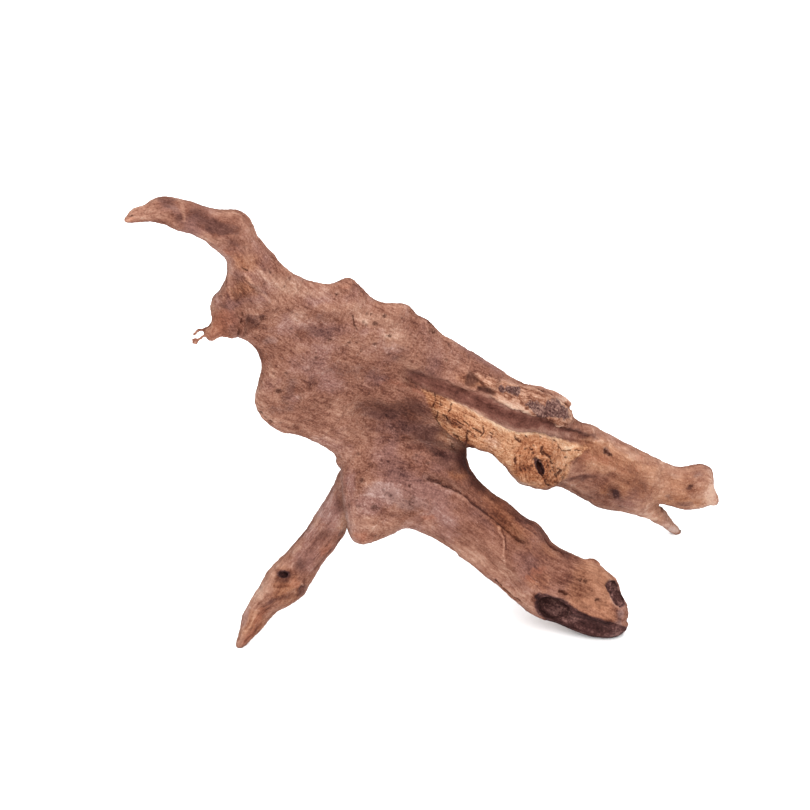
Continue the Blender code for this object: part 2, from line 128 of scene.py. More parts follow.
PRONG_RIBS = (
    (120, 78.5, 113.5, 67, 68, 18), (124.8, 72, 120.7, 64.8, 77, 12),
    (127.5, 70.2, 125, 62.7, 82, 10), (131.2, 65.9, 129.6, 60.1, 89, 8),
    (133.4, 62.3, 132.4, 58, 94, 7), (137.3, 58.2, 135.4, 56, 99, 6),
    (137.9, 57.2, 136.4, 55.2, 100.5, 4),
)
BROKEN_RIDGE_RIBS = (
    (11.5, 129, 13, 123.5, -39, 6), (15.5, 127, 16, 114.5, -37, 10),
    (21, 124.5, 20.5, 108.5, -35, 13), (26.5, 122.5, 26, 103.5, -32, 14),
    (31.5, 120, 32, 101.2, -29, 15), (37.5, 116.5, 37.5, 98.7, -25, 15),
    (43, 114, 43.3, 97, -21, 15), (49, 111.5, 47, 93.5, -15, 15),
    (54.5, 108.5, 50.3, 89.7, -9, 17), (60.5, 108, 54.5, 85, -3, 20),
    (67.5, 108, 59.5, 81.5, 3, 22), (73.5, 105.5, 67.5, 79.2, 9, 22),
    (78, 101.5, 73.5, 80.2, 17, 18), (82, 96, 78.5, 83.5, 25, 12),
)
LIMBS = (HORN_RIBS, TRUNK_RIBS, STUB_RIBS, LEG_RIBS, LOWER_LIMB_RIBS, UPPER_LIMB_RIBS, PRONG_RIBS,
         BROKEN_RIDGE_RIBS)
RIB_STEP = 1.5
RING_SIDES = 48
RING_SQUARENESS = 0.88
SLIVER_SIDES = 10

# Relief on the near side that the solids have too: a line, half its width, and its height
FACE_RELIEF = (
    (((1.5, 136), (11.5, 131.5), (26, 126.5), (40, 120.5), (53.5, 113.5), (67.5, 110.5), (82.5, 105),
      (90, 103.5)), 5.5, -4.5), (((34, 138), (47, 130), (62, 122.5), (78, 115.5)), 8.0, 2.2),
    (((-18, 117), (-4, 114), (10, 109), (24, 103)), 11.0, -6.5), (((-14, 79), (-7, 77)), 15.0, 3.5),
    (((11, 84.5), (19.5, 82), (29, 78.2), (37.5, 73), (44.5, 67), (51, 59.5), (59, 51.5)), 3.5, -2.8),
    (((20, 91), (32, 84), (42, 75), (52, 65)), 5.0, -2.0),
    (((30, 62), (45, 50), (60, 36), (75, 29)), 7.0, 1.8),
    (((-84, 196), (-81.5, 187), (-74.2, 177.5), (-66, 171.5)), 5.0, 2.6),
    (((-86, 183), (-81, 174), (-76, 168), (-77, 160)), 4.0, -2.4),
    (((-58, 170), (-40, 168), (-26, 172)), 8.0, 2.0), (((-49, 146), (-48.5, 123)), 5.0, 2.0),
    (((-60, 132), (-52, 112)), 7.0, -2.0), (((-24, 158), (-8, 150), (6, 143)), 8.0, 2.0),
    (((-36, 150), (-20, 136), (-8, 128)), 7.0, -1.8), (((12, 152), (28, 143)), 6.0, 1.6),
    (((-106, 214), (-98, 209.5), (-90, 207)), 5.0, -1.8), (((86, 97), (100, 91), (114, 84)), 5.0, 1.8),
    (((92, 104), (106, 98), (120, 90)), 4.0, -1.6), (((128, 86), (140, 79)), 4.0, -1.5),
)
FAR_SIDE_SWELL = 2.6
FAR_SIDE_SWELL_LENGTH = 26.0

# Hollows rotted into the wood: middle as (across, up, back), half sizes along, across and through, and
# the turn of the long side in degrees
HOLLOWS = (
    ((74.5, 19.5, -8.0), (9.5, 6.3, 10.5), -25.0),
    ((91.0, 8.5, -8.5), (19.0, 6.3, 9.5), -16.0),
    ((106.5, 27.0, -1.5), (3.4, 6.5, 5.5), 15.0),
    ((-60.8, 36.5, -19.5), (2.7, 1.5, 5.0), -3.0),
    ((106.0, 75.5, 43.0), (1.3, 2.6, 4.5), 20.0),
    ((67.4, 89.8, -4.0), (4.6, 1.5, 6.0), -64.0),
)
HOLLOW_LUMPS = 0.16
# Small notches in the torn end and behind the loose sliver, given in the same way
NOTCHES = (
    ((112.0, 13.4, 3.0), (1.9, 1.3, 9.0), 10.0),
    ((112.0, 20.2, 3.0), (1.7, 0.8, 9.0), 0.0),
    ((106.6, 32.6, 3.0), (1.2, 0.8, 9.0), -30.0),
    ((83.0, 119.2, 15.0), (1.6, 0.8, 12.0), 25.0),
)

# Regions of the drawing plane where the wood is parted. The first edge is the seam with the trunk
FORKS = {
    "horn_branch": ((-58, 221.7), (-100, 179.4), (-165, 179.4), (-165, 245), (-58, 245)),
    "left_stub": ((-103, 179.8), (-82.5, 146.6), (-125, 146.6), (-125, 179.8)),
    "left_leg": ((-37.5, 85.4), (-28.7, 51), (-28.7, -30), (-120, -30), (-120, 85.4)),
    "lower_right_limb": ((33.5, 95), (-1.7, 54.5), (-1.7, -30), (175, -30), (175, 38),
                         (120, 48), (50, 79)),
    "upper_right_limb": ((33.5, 97.5), (52, 149.1), (175, 149.1), (175, 40), (120, 50),
                         (50, 81)),
}
LIMB_OF_FORK = {"horn_branch": HORN_RIBS, "left_stub": STUB_RIBS, "left_leg": LEG_RIBS,
                "lower_right_limb": LOWER_LIMB_RIBS, "upper_right_limb": UPPER_LIMB_RIBS}
TRUNK = "trunk"

FORM_VOXEL = 1.0
SKIN_VOXEL = 0.56
FAR_SIDE_THINNING = 0.42
SMOOTHING_LOSS = 0.35
# Reach of the collar that closes a parted skin, inwards and away from the seam
COLLAR = 0.4

# Surface of the near side, on the drawing plane
GROOVE = (
    (1, 137.5), (11.5, 134.5), (19.5, 134), (26, 130.2), (35.5, 126.8), (43.2, 123.9), (48.5, 121.2),
    (54.4, 117), (57, 117.4), (60.5, 115.7), (69.5, 113.3), (72.5, 111.5), (80, 108.8), (94, 104.8),
    (82.8, 103), (74, 106), (64.5, 108.1), (55, 108), (47, 112.2), (37.5, 116.5), (30.7, 120.5),
    (24.5, 124), (14.8, 127.6), (5.2, 132),
)
GROOVE_BANK = ((36, 127), (43.2, 124), (54.4, 117), (57, 117.2), (63, 115), (69.5, 113.2), (73, 110.5),
               (78, 109))
RIDGE_LINE = ((-12, 131), (5.2, 131), (14.8, 127.2), (24.5, 123.7), (37.5, 116.5), (47, 112.2),
              (55, 107.8), (64.5, 108.1), (74, 105.5), (82.8, 102), (100, 98.5))
BARE_RIDGE = (
    (9, 128.5), (24.5, 123.7), (37.5, 116.5), (47, 112.2), (55, 107.8), (64.5, 108.1), (74, 105.5),
    (84, 101.5), (92, 100), (84, 93), (81, 86), (74.3, 80.5), (69, 79), (60, 81.5), (54.5, 84.7),
    (50.5, 90.5), (37.5, 98.8), (26, 103.5), (20.5, 108.5), (14, 115),
)
BURL = (67.5, 91.5)
BARK_FLAP = (
    (34, 137), (42.5, 134.5), (53.5, 132), (62.5, 129.5), (71.5, 126), (78.5, 122), (82.5, 118),
    (84.5, 112.5), (77.5, 110.8), (72.5, 112.5), (69.5, 114.5), (60.7, 116.7), (56.5, 118.4),
    (54, 118), (51.8, 119.8), (43.2, 124.8), (46, 127.5), (40, 131),
)
DENTS = (((36, 130.2), (40, 129.8), (44.3, 128), (45.3, 126), (41, 125.9), (37.5, 127.4)),
         ((30, 134), (32.5, 137.5), (35.5, 136), (36.8, 132.5), (34.5, 130.4), (31, 130.5)))
CRUST = (
    ((45.2, 130.3), (47.5, 130.7), (49.2, 129.2), (52, 130.4), (56.6, 129.8), (57, 127.4), (55.5, 125.3),
     (53.5, 126.2), (50.5, 127.5), (47, 127.9)),
    ((60, 121.3), (64, 122.8), (69, 120.3), (70.4, 123.4), (73.5, 124.2), (76.8, 121.3), (80.6, 119),
     (81.3, 115.2), (78, 114.4), (72, 115), (66, 115.2), (64.6, 118), (61.5, 120)),
)
CROTCH = ((24, 100), (29, 100), (33, 99), (36, 92), (37, 85), (31, 87), (26, 93))
LIMB_MOUTH = (
    (64.8, 25.4), (67, 27.2), (70.5, 27), (74, 25.8), (77.5, 24), (82, 21), (87, 18), (92, 16), (97, 14.8),
    (101, 13.4), (104.5, 11.9), (108, 11), (112, 10.5), (112, 2), (98, -1), (84, 3), (71, 12.5),
    (69, 17), (66.6, 21.5),
)
MOUTH_LIP = ((64, 23.5), (66.5, 28), (73, 27), (81, 22.6), (88, 18.6), (94, 16.8), (101, 14.6), (106, 13))
END_HOLE = ((101.4, 33.6), (103.8, 34), (105, 31.5), (106.2, 28.3), (108.2, 25.4), (109.6, 22), (108, 20.2),
            (105.7, 21.8), (103.6, 24.4), (101.2, 28.5), (100.4, 31))
TORN_END = ((84, 38), (89, 44), (97, 42), (106, 35), (103.5, 27), (104.5, 21.5), (104, 14), (96, 16),
            (86, 20), (81, 26))
PEBBLED = (((-14, 159), (3, 160), (2, 147), (-12, 146)), ((-60, 170), (-47, 170), (-47, 160), (-60, 161)))
# Outlines of each region, and how softly it ends
REGIONS = {
    "groove": ((GROOVE,), 0.9), "bare": ((BARE_RIDGE,), 1.6), "flap": ((BARK_FLAP,), 1.2),
    "dent": (DENTS, 1.0), "crust": (CRUST, 0.6), "crotch": ((CROTCH,), 2.5), "mouth": ((LIMB_MOUTH,), 0.6),
    "end_hole": ((END_HOLE,), 0.7), "torn": ((TORN_END,), 2.0), "pebbled": (PEBBLED, 2.0),
}
FARTHEST = 9.0

# Cracks: a line, half its width, and its depth
CRACKS = (
    (((-25.9, 165.5), (-25.3, 161.2), (-23.8, 158.9)), 0.55, 0.8),
    (((-81.2, 167.3), (-81, 165.2)), 0.5, 0.7), (((-81.9, 164), (-82.4, 161.6)), 0.5, 0.8),
    (((-82.9, 159), (-83.7, 155.3)), 0.6, 1.2), (((-80.8, 189.4), (-78.6, 188.4)), 0.7, 0.7),
    (((14.8, 126.8), (15, 123.5), (14.6, 121.5)), 0.5, 0.9), (((14.6, 121.5), (13.2, 119.8)), 0.4, 0.6),
    (((23.8, 121.8), (23, 119.5), (21.6, 117.4)), 0.5, 0.8),
    (((19, 115), (20.3, 114.2), (21, 112.7)), 0.95, 1.4), (((21, 112.7), (24.5, 111.4)), 0.4, 0.5),
    (((24, 115.4), (27, 112.6), (29.3, 111)), 0.45, 0.6),
    (((29.5, 113.2), (31, 112.2), (32.3, 110.8)), 0.45, 0.6),
    (((34.3, 109.6), (36, 108.6), (37.8, 107.3)), 0.8, 1.1),
    (((39.7, 110.8), (39.4, 107.6), (37.9, 104.7)), 0.45, 0.7), (((32, 108.2), (33.5, 105.8)), 0.4, 0.5),
    (((31.4, 108), (30.7, 106.5), (30.6, 102.3)), 0.8, 1.2),
    (((24.3, 106), (27, 103.8), (30, 101.8)), 0.5, 0.8),
    (((16, 117.5), (15.2, 114.5), (17, 111)), 0.5, 0.6), (((42.5, 107.3), (44, 106.4)), 0.5, 0.5),
    (((55.4, 104.7), (57.9, 103)), 1.2, 1.4), (((55.1, 95.4), (54.9, 93.6), (54.7, 91.4)), 0.75, 1.0),
    (((65.9, 93.3), (67.6, 93.7), (69.4, 92.7)), 0.7, 0.9),
    (((66, 93.4), (66.9, 90), (68, 87), (69.6, 85.2)), 0.9, 1.5),
    (((70, 97.8), (71, 96.4), (71.8, 95)), 0.75, 0.9),
    (((69.3, 100.3), (69, 98), (69.6, 96.3)), 0.9, 0.7),
    (((72.5, 95), (73.2, 93.4), (74.4, 91.5)), 0.95, 1.3),
    (((70.8, 93.2), (71.8, 91.5), (72.6, 90)), 0.4, 0.6),
    (((77, 89), (78.3, 88.2), (77.6, 86.8)), 0.7, 0.8), (((75.8, 86), (76.5, 85)), 0.85, 0.9),
    (((74, 89.6), (74.9, 89.2)), 0.5, 0.6), (((70.2, 83.4), (71, 81.8)), 0.9, 0.9),
    (((71.5, 81.3), (72.4, 80.3)), 0.8, 0.8), (((60.5, 106), (61.6, 105.6)), 0.5, 0.5),
    (((67.5, 106), (68.6, 105.4)), 0.45, 0.5),
    (((74, 104.2), (75.6, 102.8), (76.6, 101.2), (76.8, 100)), 0.5, 0.7),
    (((77, 100), (78.4, 98.4), (80, 97.9), (82.6, 98)), 0.5, 0.6), (((84.5, 98.3), (88, 98.3)), 0.4, 0.4),
    (((62.5, 99.6), (63.6, 98.8)), 0.6, 0.5), (((64.2, 101.4), (65.2, 100.8)), 0.5, 0.4),
    # The next three are shadow lines, carved and painted as cracks: under the flap's lower edge and under
    # the loose sliver
    (((54, 116.9), (57, 117.1), (61, 115.3)), 0.5, 0.6),
    (((66.3, 114.7), (70, 113.7), (73, 112.2)), 0.6, 0.8),
    (((66.6, 128.8), (70, 127.5), (74, 125.6), (78, 123.4), (80.8, 121.5)), 0.55, 0.9),
    (((77.3, 28.2), (79, 27.6), (80.8, 26)), 0.9, 1.4), (((100, 98.7), (104, 95.5)), 0.7, 0.7),
    (((45, 34.2), (48, 31.2), (53, 27), (58, 22.6)), 0.45, 0.7), (((24, 48), (28.5, 45.6)), 0.4, 0.5),
    (((70, 54), (73, 50.5), (79, 46.5)), 0.6, 0.7),
)
# Low crests and furrows, drawn as cracks are
CRESTS = (
    (((12, 84.3), (17, 82.6), (22.5, 80), (31, 75), (37.5, 69.5), (46, 62), (52.5, 57),
      (59, 52)), 1.1, -0.9),
    (((11, 82.9), (22, 78.5), (30.5, 73.6), (37, 68), (45, 60.8), (52, 55.4)), 1.3, 0.35),
    (((-81, 184.5), (-78, 180.5), (-73, 176.5)), 1.4, -0.8),
    (((47, 60), (49, 54), (49.4, 49), (49, 45), (50.3, 41.5)), 0.9, 0.5),
    (((51, 48), (50.6, 44), (51.5, 40)), 0.8, 0.4),
    (((28, 46.5), (36, 41), (42, 36.5), (48, 32), (55, 26.8)), 1.6, 0.5),
    (((-72, 186), (-62, 181), (-50, 178)), 2.2, 0.5), (((-80, 184), (-74, 179), (-68, 173)), 1.4, 0.5),
    (((-49.5, 144), (-48.4, 135), (-49.2, 124)), 1.3, 0.3), (((-62, 126), (-60, 116)), 1.2, 0.5),
    (((84, 101.5), (92, 101.8), (101, 100)), 1.2, 0.5), (((80, 104), (90, 103), (100, 103)), 1.0, 0.4),
    (((-67, 37), (-68, 31), (-72, 24)), 2.5, 0.7), (((-54, 36), (-53, 31), (-55, 27)), 2.0, 0.6),
    (((-51.3, 31.8), (-50.2, 30)), 1.0, 0.8), (((13, 166), (14, 163), (18, 157)), 1.2, 0.6),
)
# Small pits: middle, radius
PITS = (
    ((20, 114), 1.5), ((90.5, 32.7), 1.2), ((96.5, 23.5), 1.0), ((143, 80), 1.8), ((-15.2, 161.7), 1.0),
    ((-15, 150.7), 1.3), ((-28.2, 152.2), 1.1), ((-38, 152.7), 1.0), ((12, 162), 1.1), ((14.5, 157), 1.1),
    ((-8, 155.5), 1.2), ((-16.7, 165.8), 0.9), ((-10, 165), 0.9), ((-33.5, 176), 0.9), ((-71, 164), 1.6),
    ((-72.5, 117), 1.0), ((-67.5, 112.5), 1.2), ((-63, 127.5), 1.6), ((-14.5, 70), 2.2),
    ((100.5, 97.2), 1.0), ((102.8, 95.6), 0.8), ((23.5, 100), 1.6), ((-77, 162.6), 1.6),
    ((105.8, 74.5), 1.2), ((104.3, 78), 1.0), ((73.8, 87.8), 0.9), ((76, 90.2), 0.8), ((79.5, 88.3), 0.8),
    ((81, 90.8), 0.7), ((78.5, 85.2), 0.8), ((60.5, 99.5), 0.9), ((64.8, 97.8), 0.8), ((57.5, 95.5), 0.7),
    ((27.5, 109.5), 0.8), ((35, 104.5), 0.7), ((30, 115.5), 0.6), ((43.5, 104.8), 0.7),
    ((18, 121.5), 0.8), ((-137.5, 215.8), 0.9), ((87.5, 34), 1.0), ((77, 86.5), 1.2), ((63, 91), 1.1),
    ((80, 94.5), 0.9), ((75.5, 88), 0.9), ((65.5, 94.5), 1.4), ((-21.5, 83), 1.5), ((2, 80.5), 0.9),
)
# Stains: middle, half length, half width, turn in degrees, strength. Some dark ones are painted shade, in
# the crotch, under the ridge and on the lower limb's flank below the upper limb, and some light ones are
# painted light on top edges and on the lower limb's underside
STAINS = {
    "dark": (
        (-120, 224, 6, 2.5, -8, 0.8), (-121, 220, 4, 2.5, 0, 0.6), (-104, 216, 8, 3.5, -20, 0.8),
        (-93, 210.5, 9, 3, -8, 1.0), (-115, 214, 2.5, 5, 0, 0.6), (-84, 209.5, 4, 2.5, 0, 0.5),
        (-86, 202, 5, 2.5, 0, 0.6), (-83, 186, 2.5, 5, 25, 0.5), (-83, 176, 3, 7, 20, 0.35),
        (-90, 170.5, 3, 2, -20, 0.7), (-77.5, 162.5, 5.5, 3, -20, 0.7), (-72, 164.5, 3, 1.5, 10, 0.8),
        (-72, 177, 7, 1.5, -35, 0.6), (-40, 165, 9, 3.5, -10, 0.5), (-45, 158, 12, 3, 0, 0.6),
        (-57, 134, 6, 3, 0, 0.5), (-57, 127, 2.5, 7, -25, 0.8), (-62, 127, 4, 2, 0, 0.5),
        (-28, 138, 18, 4, -4, 0.6), (-45, 131, 5, 3, 0, 0.4), (-5, 145, 8, 3, -20, 0.5),
        (6, 136, 8, 3, -20, 0.9), (-10, 118, 16, 4.5, -4, 1.0), (6, 119, 9, 4, -20, 0.9),
        (8, 109.5, 11, 4, -15, 1.0), (12, 103, 10, 3, -15, 0.8), (-18, 109, 9, 3, 0, 0.4),
        (22, 93, 12, 4, -25, 1.0), (-22, 84, 3, 2.5, 0, 0.5), (-14, 69.5, 4, 1.5, -10, 0.6),
        (-33, 71, 3, 9, 10, 0.7), (-6, 66, 6, 2, -10, 0.5), (3, 93, 6, 2, 0, 0.4),
        (33, 90, 3, 6, 30, 0.7), (44, 76, 2, 9, 50, 0.35), (57, 66, 2, 9, 52, 0.4),
        (70, 54, 3, 9, 40, 0.8), (79, 47, 6, 2.5, -35, 0.7), (70, 46, 8, 3, -40, 0.4),
        (38, 68, 14, 3, -35, 0.35), (62, 52, 10, 4, -40, 0.3), (88, 33, 3, 2.5, 0, 0.4),
        (96, 85, 12, 2.5, 0, 0.6), (105, 76, 3.5, 5, 30, 1.0), (101, 97, 4, 1.8, -35, 0.9),
        (86, 84, 8, 2, 5, 0.6), (90, 106, 8, 1.6, -8, 0.9), (78, 109, 8, 1.6, -15, 0.9),
        (120, 82, 3, 5, 20, 0.5), (95, 75, 9, 2.5, -20, 0.5), (143, 80, 2.5, 2, 0, 0.8),
        (145, 87, 5, 2.2, 0, 0.5), (139, 71.5, 6, 1.5, 0, 0.8), (131, 75, 3, 1.5, 0, 0.5),
        (-52, 41, 6, 2.5, 40, 0.6), (-60, 36, 4, 2.5, 0, 0.6), (-61, 32.6, 4, 2.5, 0, 0.6),
        (-51, 28.5, 3.5, 3, 40, 0.9), (-60, 25, 8, 1.8, 25, 0.7), (-68, 20.5, 4.5, 1.6, 40, 0.8),
        (-40, 57, 7, 2.5, 20, 0.6), (-32, 57, 3, 1.5, 30, 1.0), (-57, 45, 4, 1.6, 45, 0.5),
        (-74, 11, 4, 1.5, 50, 0.6), (-72, 30, 1, 3, 30, 0.7), (60, 89, 4, 2, 0, 0.6),
        (22, 113, 6, 2, -25, 0.5), (-56, 119, 4, 2, 0, 0.5), (-66, 145, 1.5, 6, 0, 0.5),
        (-64, 118, 5, 3, 0, 0.5), (40, 102, 4, 1.5, -20, 0.3), (13, 137, 5, 1.5, -35, 0.6),
    ),
    "light": (
        (-112.5, 218, 2, 6, 10, 0.8), (-76, 14, 1, 5, -28, 0.4), (-68.5, 30, 2.2, 9, -27, 0.8),
        (-128, 218.5, 7, 2, 12, 0.7), (-124, 215, 8, 1.5, 0, 0.5),
        (-97, 205, 9, 2.5, -28, 0.8), (-90, 216, 8, 2.2, -8, 0.7), (-79, 197, 4, 9, 20, 0.5),
        (-66, 184, 12, 3, -30, 0.7), (-55, 180, 13, 4, -12, 0.8), (-74, 177, 9, 0.8, -38, 0.8),
        (-38, 178, 10, 3, -5, 0.5), (-20, 166, 11, 4, -25, 0.7), (-5, 154, 9, 5, -15, 0.9),
        (-10, 162, 12, 4, -20, 0.6), (-53, 165, 6, 3.5, 10, 0.9), (-66, 137, 2.5, 9, 0, 0.7),
        (-32, 118, 8, 4.5, 0, 0.6), (-26, 106, 15, 4, -5, 0.5), (-70, 120, 3, 8, 10, 0.5),
        (-60, 111, 9, 2.5, -15, 0.5), (2, 142, 9, 2.5, -20, 0.7), (-52, 149, 10, 2.5, 0, 0.4),
        (-20, 62, 9, 4, -8, 0.7), (-24, 69, 5, 4, 0, 0.4), (50, 38, 9, 3.5, -38, 0.6),
        (35, 47, 12, 3, -35, 0.5), (55, 28, 6, 2, -40, 0.6), (112, 98, 14, 2.5, -26, 0.6),
        (128, 82, 6, 6, 0, 0.5), (148, 76, 6, 3, 0, 0.6), (100, 89, 10, 2.5, 0, 0.4),
        (-68, 31, 3, 8, -25, 0.9), (-53, 48, 4, 1.8, 60, 0.6), (-44, 62, 5, 2, 50, 0.5),
        (94, 37, 4, 4, 0, 0.8), (60, 21.5, 5, 3, -35, 0.5), (-42, 121, 7, 2, 30, 0.3),
        (30, 141, 14, 2.5, -32, 0.4), (135, 87, 4, 2, -10, 0.6),
    ),
    "red": (
        (-138, 214, 4, 1.5, 10, 0.8), (-89, 197, 3, 1.5, -20, 0.8), (-93, 163, 4, 6, 0, 1.0),
        (-88, 165, 5, 4, 0, 0.6), (-4, 131, 10, 2, -8, 0.5), (8, 127, 9, 2, -15, 0.6),
        (63, 34.5, 5, 2.5, -20, 0.9), (67, 38, 4, 1.5, 0, 0.7), (99, 20, 6, 7, 0, 0.8),
        (118, 95, 4, 1.5, -26, 0.8), (-22, 55.5, 6, 2.5, 0, 0.9), (-73, 14, 3, 7, -30, 0.9),
        (-78, 6, 2.5, 5, -30, 0.9), (-56, 31, 4, 3.5, 0, 0.9), (-39, 49, 2.5, 4, -30, 0.8),
        (-2, 65, 5, 1.5, 0, 0.5), (12, 64, 5, 1.5, 0, 0.7), (94, 94, 12, 3, -10, 0.6),
        (60, 90, 6, 7, 0, 0.9), (-84, 196, 4, 3, 0, 0.4), (75, 63, 3, 1, 0, 0.4),
        (50, 71, 3, 1.2, -30, 0.6),
        (-30, 181, 4, 1.5, 20, 0.5), (112, 88, 8, 4, 0, 0.4), (-58, 22, 5, 1.5, 25, 0.6),
    ),
    "ash": (
        (-12, 79, 10, 4.5, 0, 1.0), (-5, 74, 9, 4, -10, 0.7), (5, 71, 10, 5, -10, 0.5),
        (-51, 164, 8, 4, 0, 0.4), (-66, 153, 5, 3, 0, 0.6), (-5, 150, 8, 4, -10, 0.5),
        (20, 65, 14, 4, -30, 0.4), (-118, 219, 4, 4, 0, 0.5), (-38, 66, 5, 6, 0, 0.5),
        (108, 16.8, 3, 2.6, 0, 0.8), (106.3, 12.8, 3, 2, 0, 0.7), (146, 84, 7, 6, 0, 0.3),
        (-105, 152.6, 3, 2, 0, 1.0), (-103, 158, 3, 1.6, 30, 1.0), (44, 102, 6, 4, 0, 0.6),
        (28, 111.5, 6, 2.5, -35, 0.5), (-80, 16, 2, 9, -22, 0.6), (-73, 30, 1.5, 8, -27, 0.4),
        (134, 57, 4, 3, 0, 0.6),
    ),
    "cool": (
        (-60, 160, 12, 7, 0, 0.7), (-38, 132, 8, 7, 0, 0.7), (-12, 92, 10, 11, 0, 0.7),
        (-27, 84, 4, 7, 0, 0.8),
        (8, 77, 20, 8, -25, 1.0), (-15, 73, 10, 6, 0, 0.9), (-42, 176, 10, 5, 0, 0.6),
        (20, 64, 12, 5, -35, 0.7),
        (-123, 220, 5, 5, 0, 0.8), (-107, 211, 7, 5, -20, 0.7), (-93, 176, 3, 7, 0, 0.8),
        (-86, 172, 4, 10, 0, 0.6),
        (-30, 158, 20, 3, 0, 0.4), (-12, 133, 6, 4, 0, 0.6), (-56, 124, 4, 5, 0, 0.6),
        (-50, 142, 10, 5, 0, 0.4),
        (35, 146, 14, 2.5, -33, 0.8), (-38, 68, 5, 12, 20, 0.7), (-50, 58, 5, 8, -45, 0.5),
        (-5, 110, 14, 4, 0, 0.4),
    ),
}
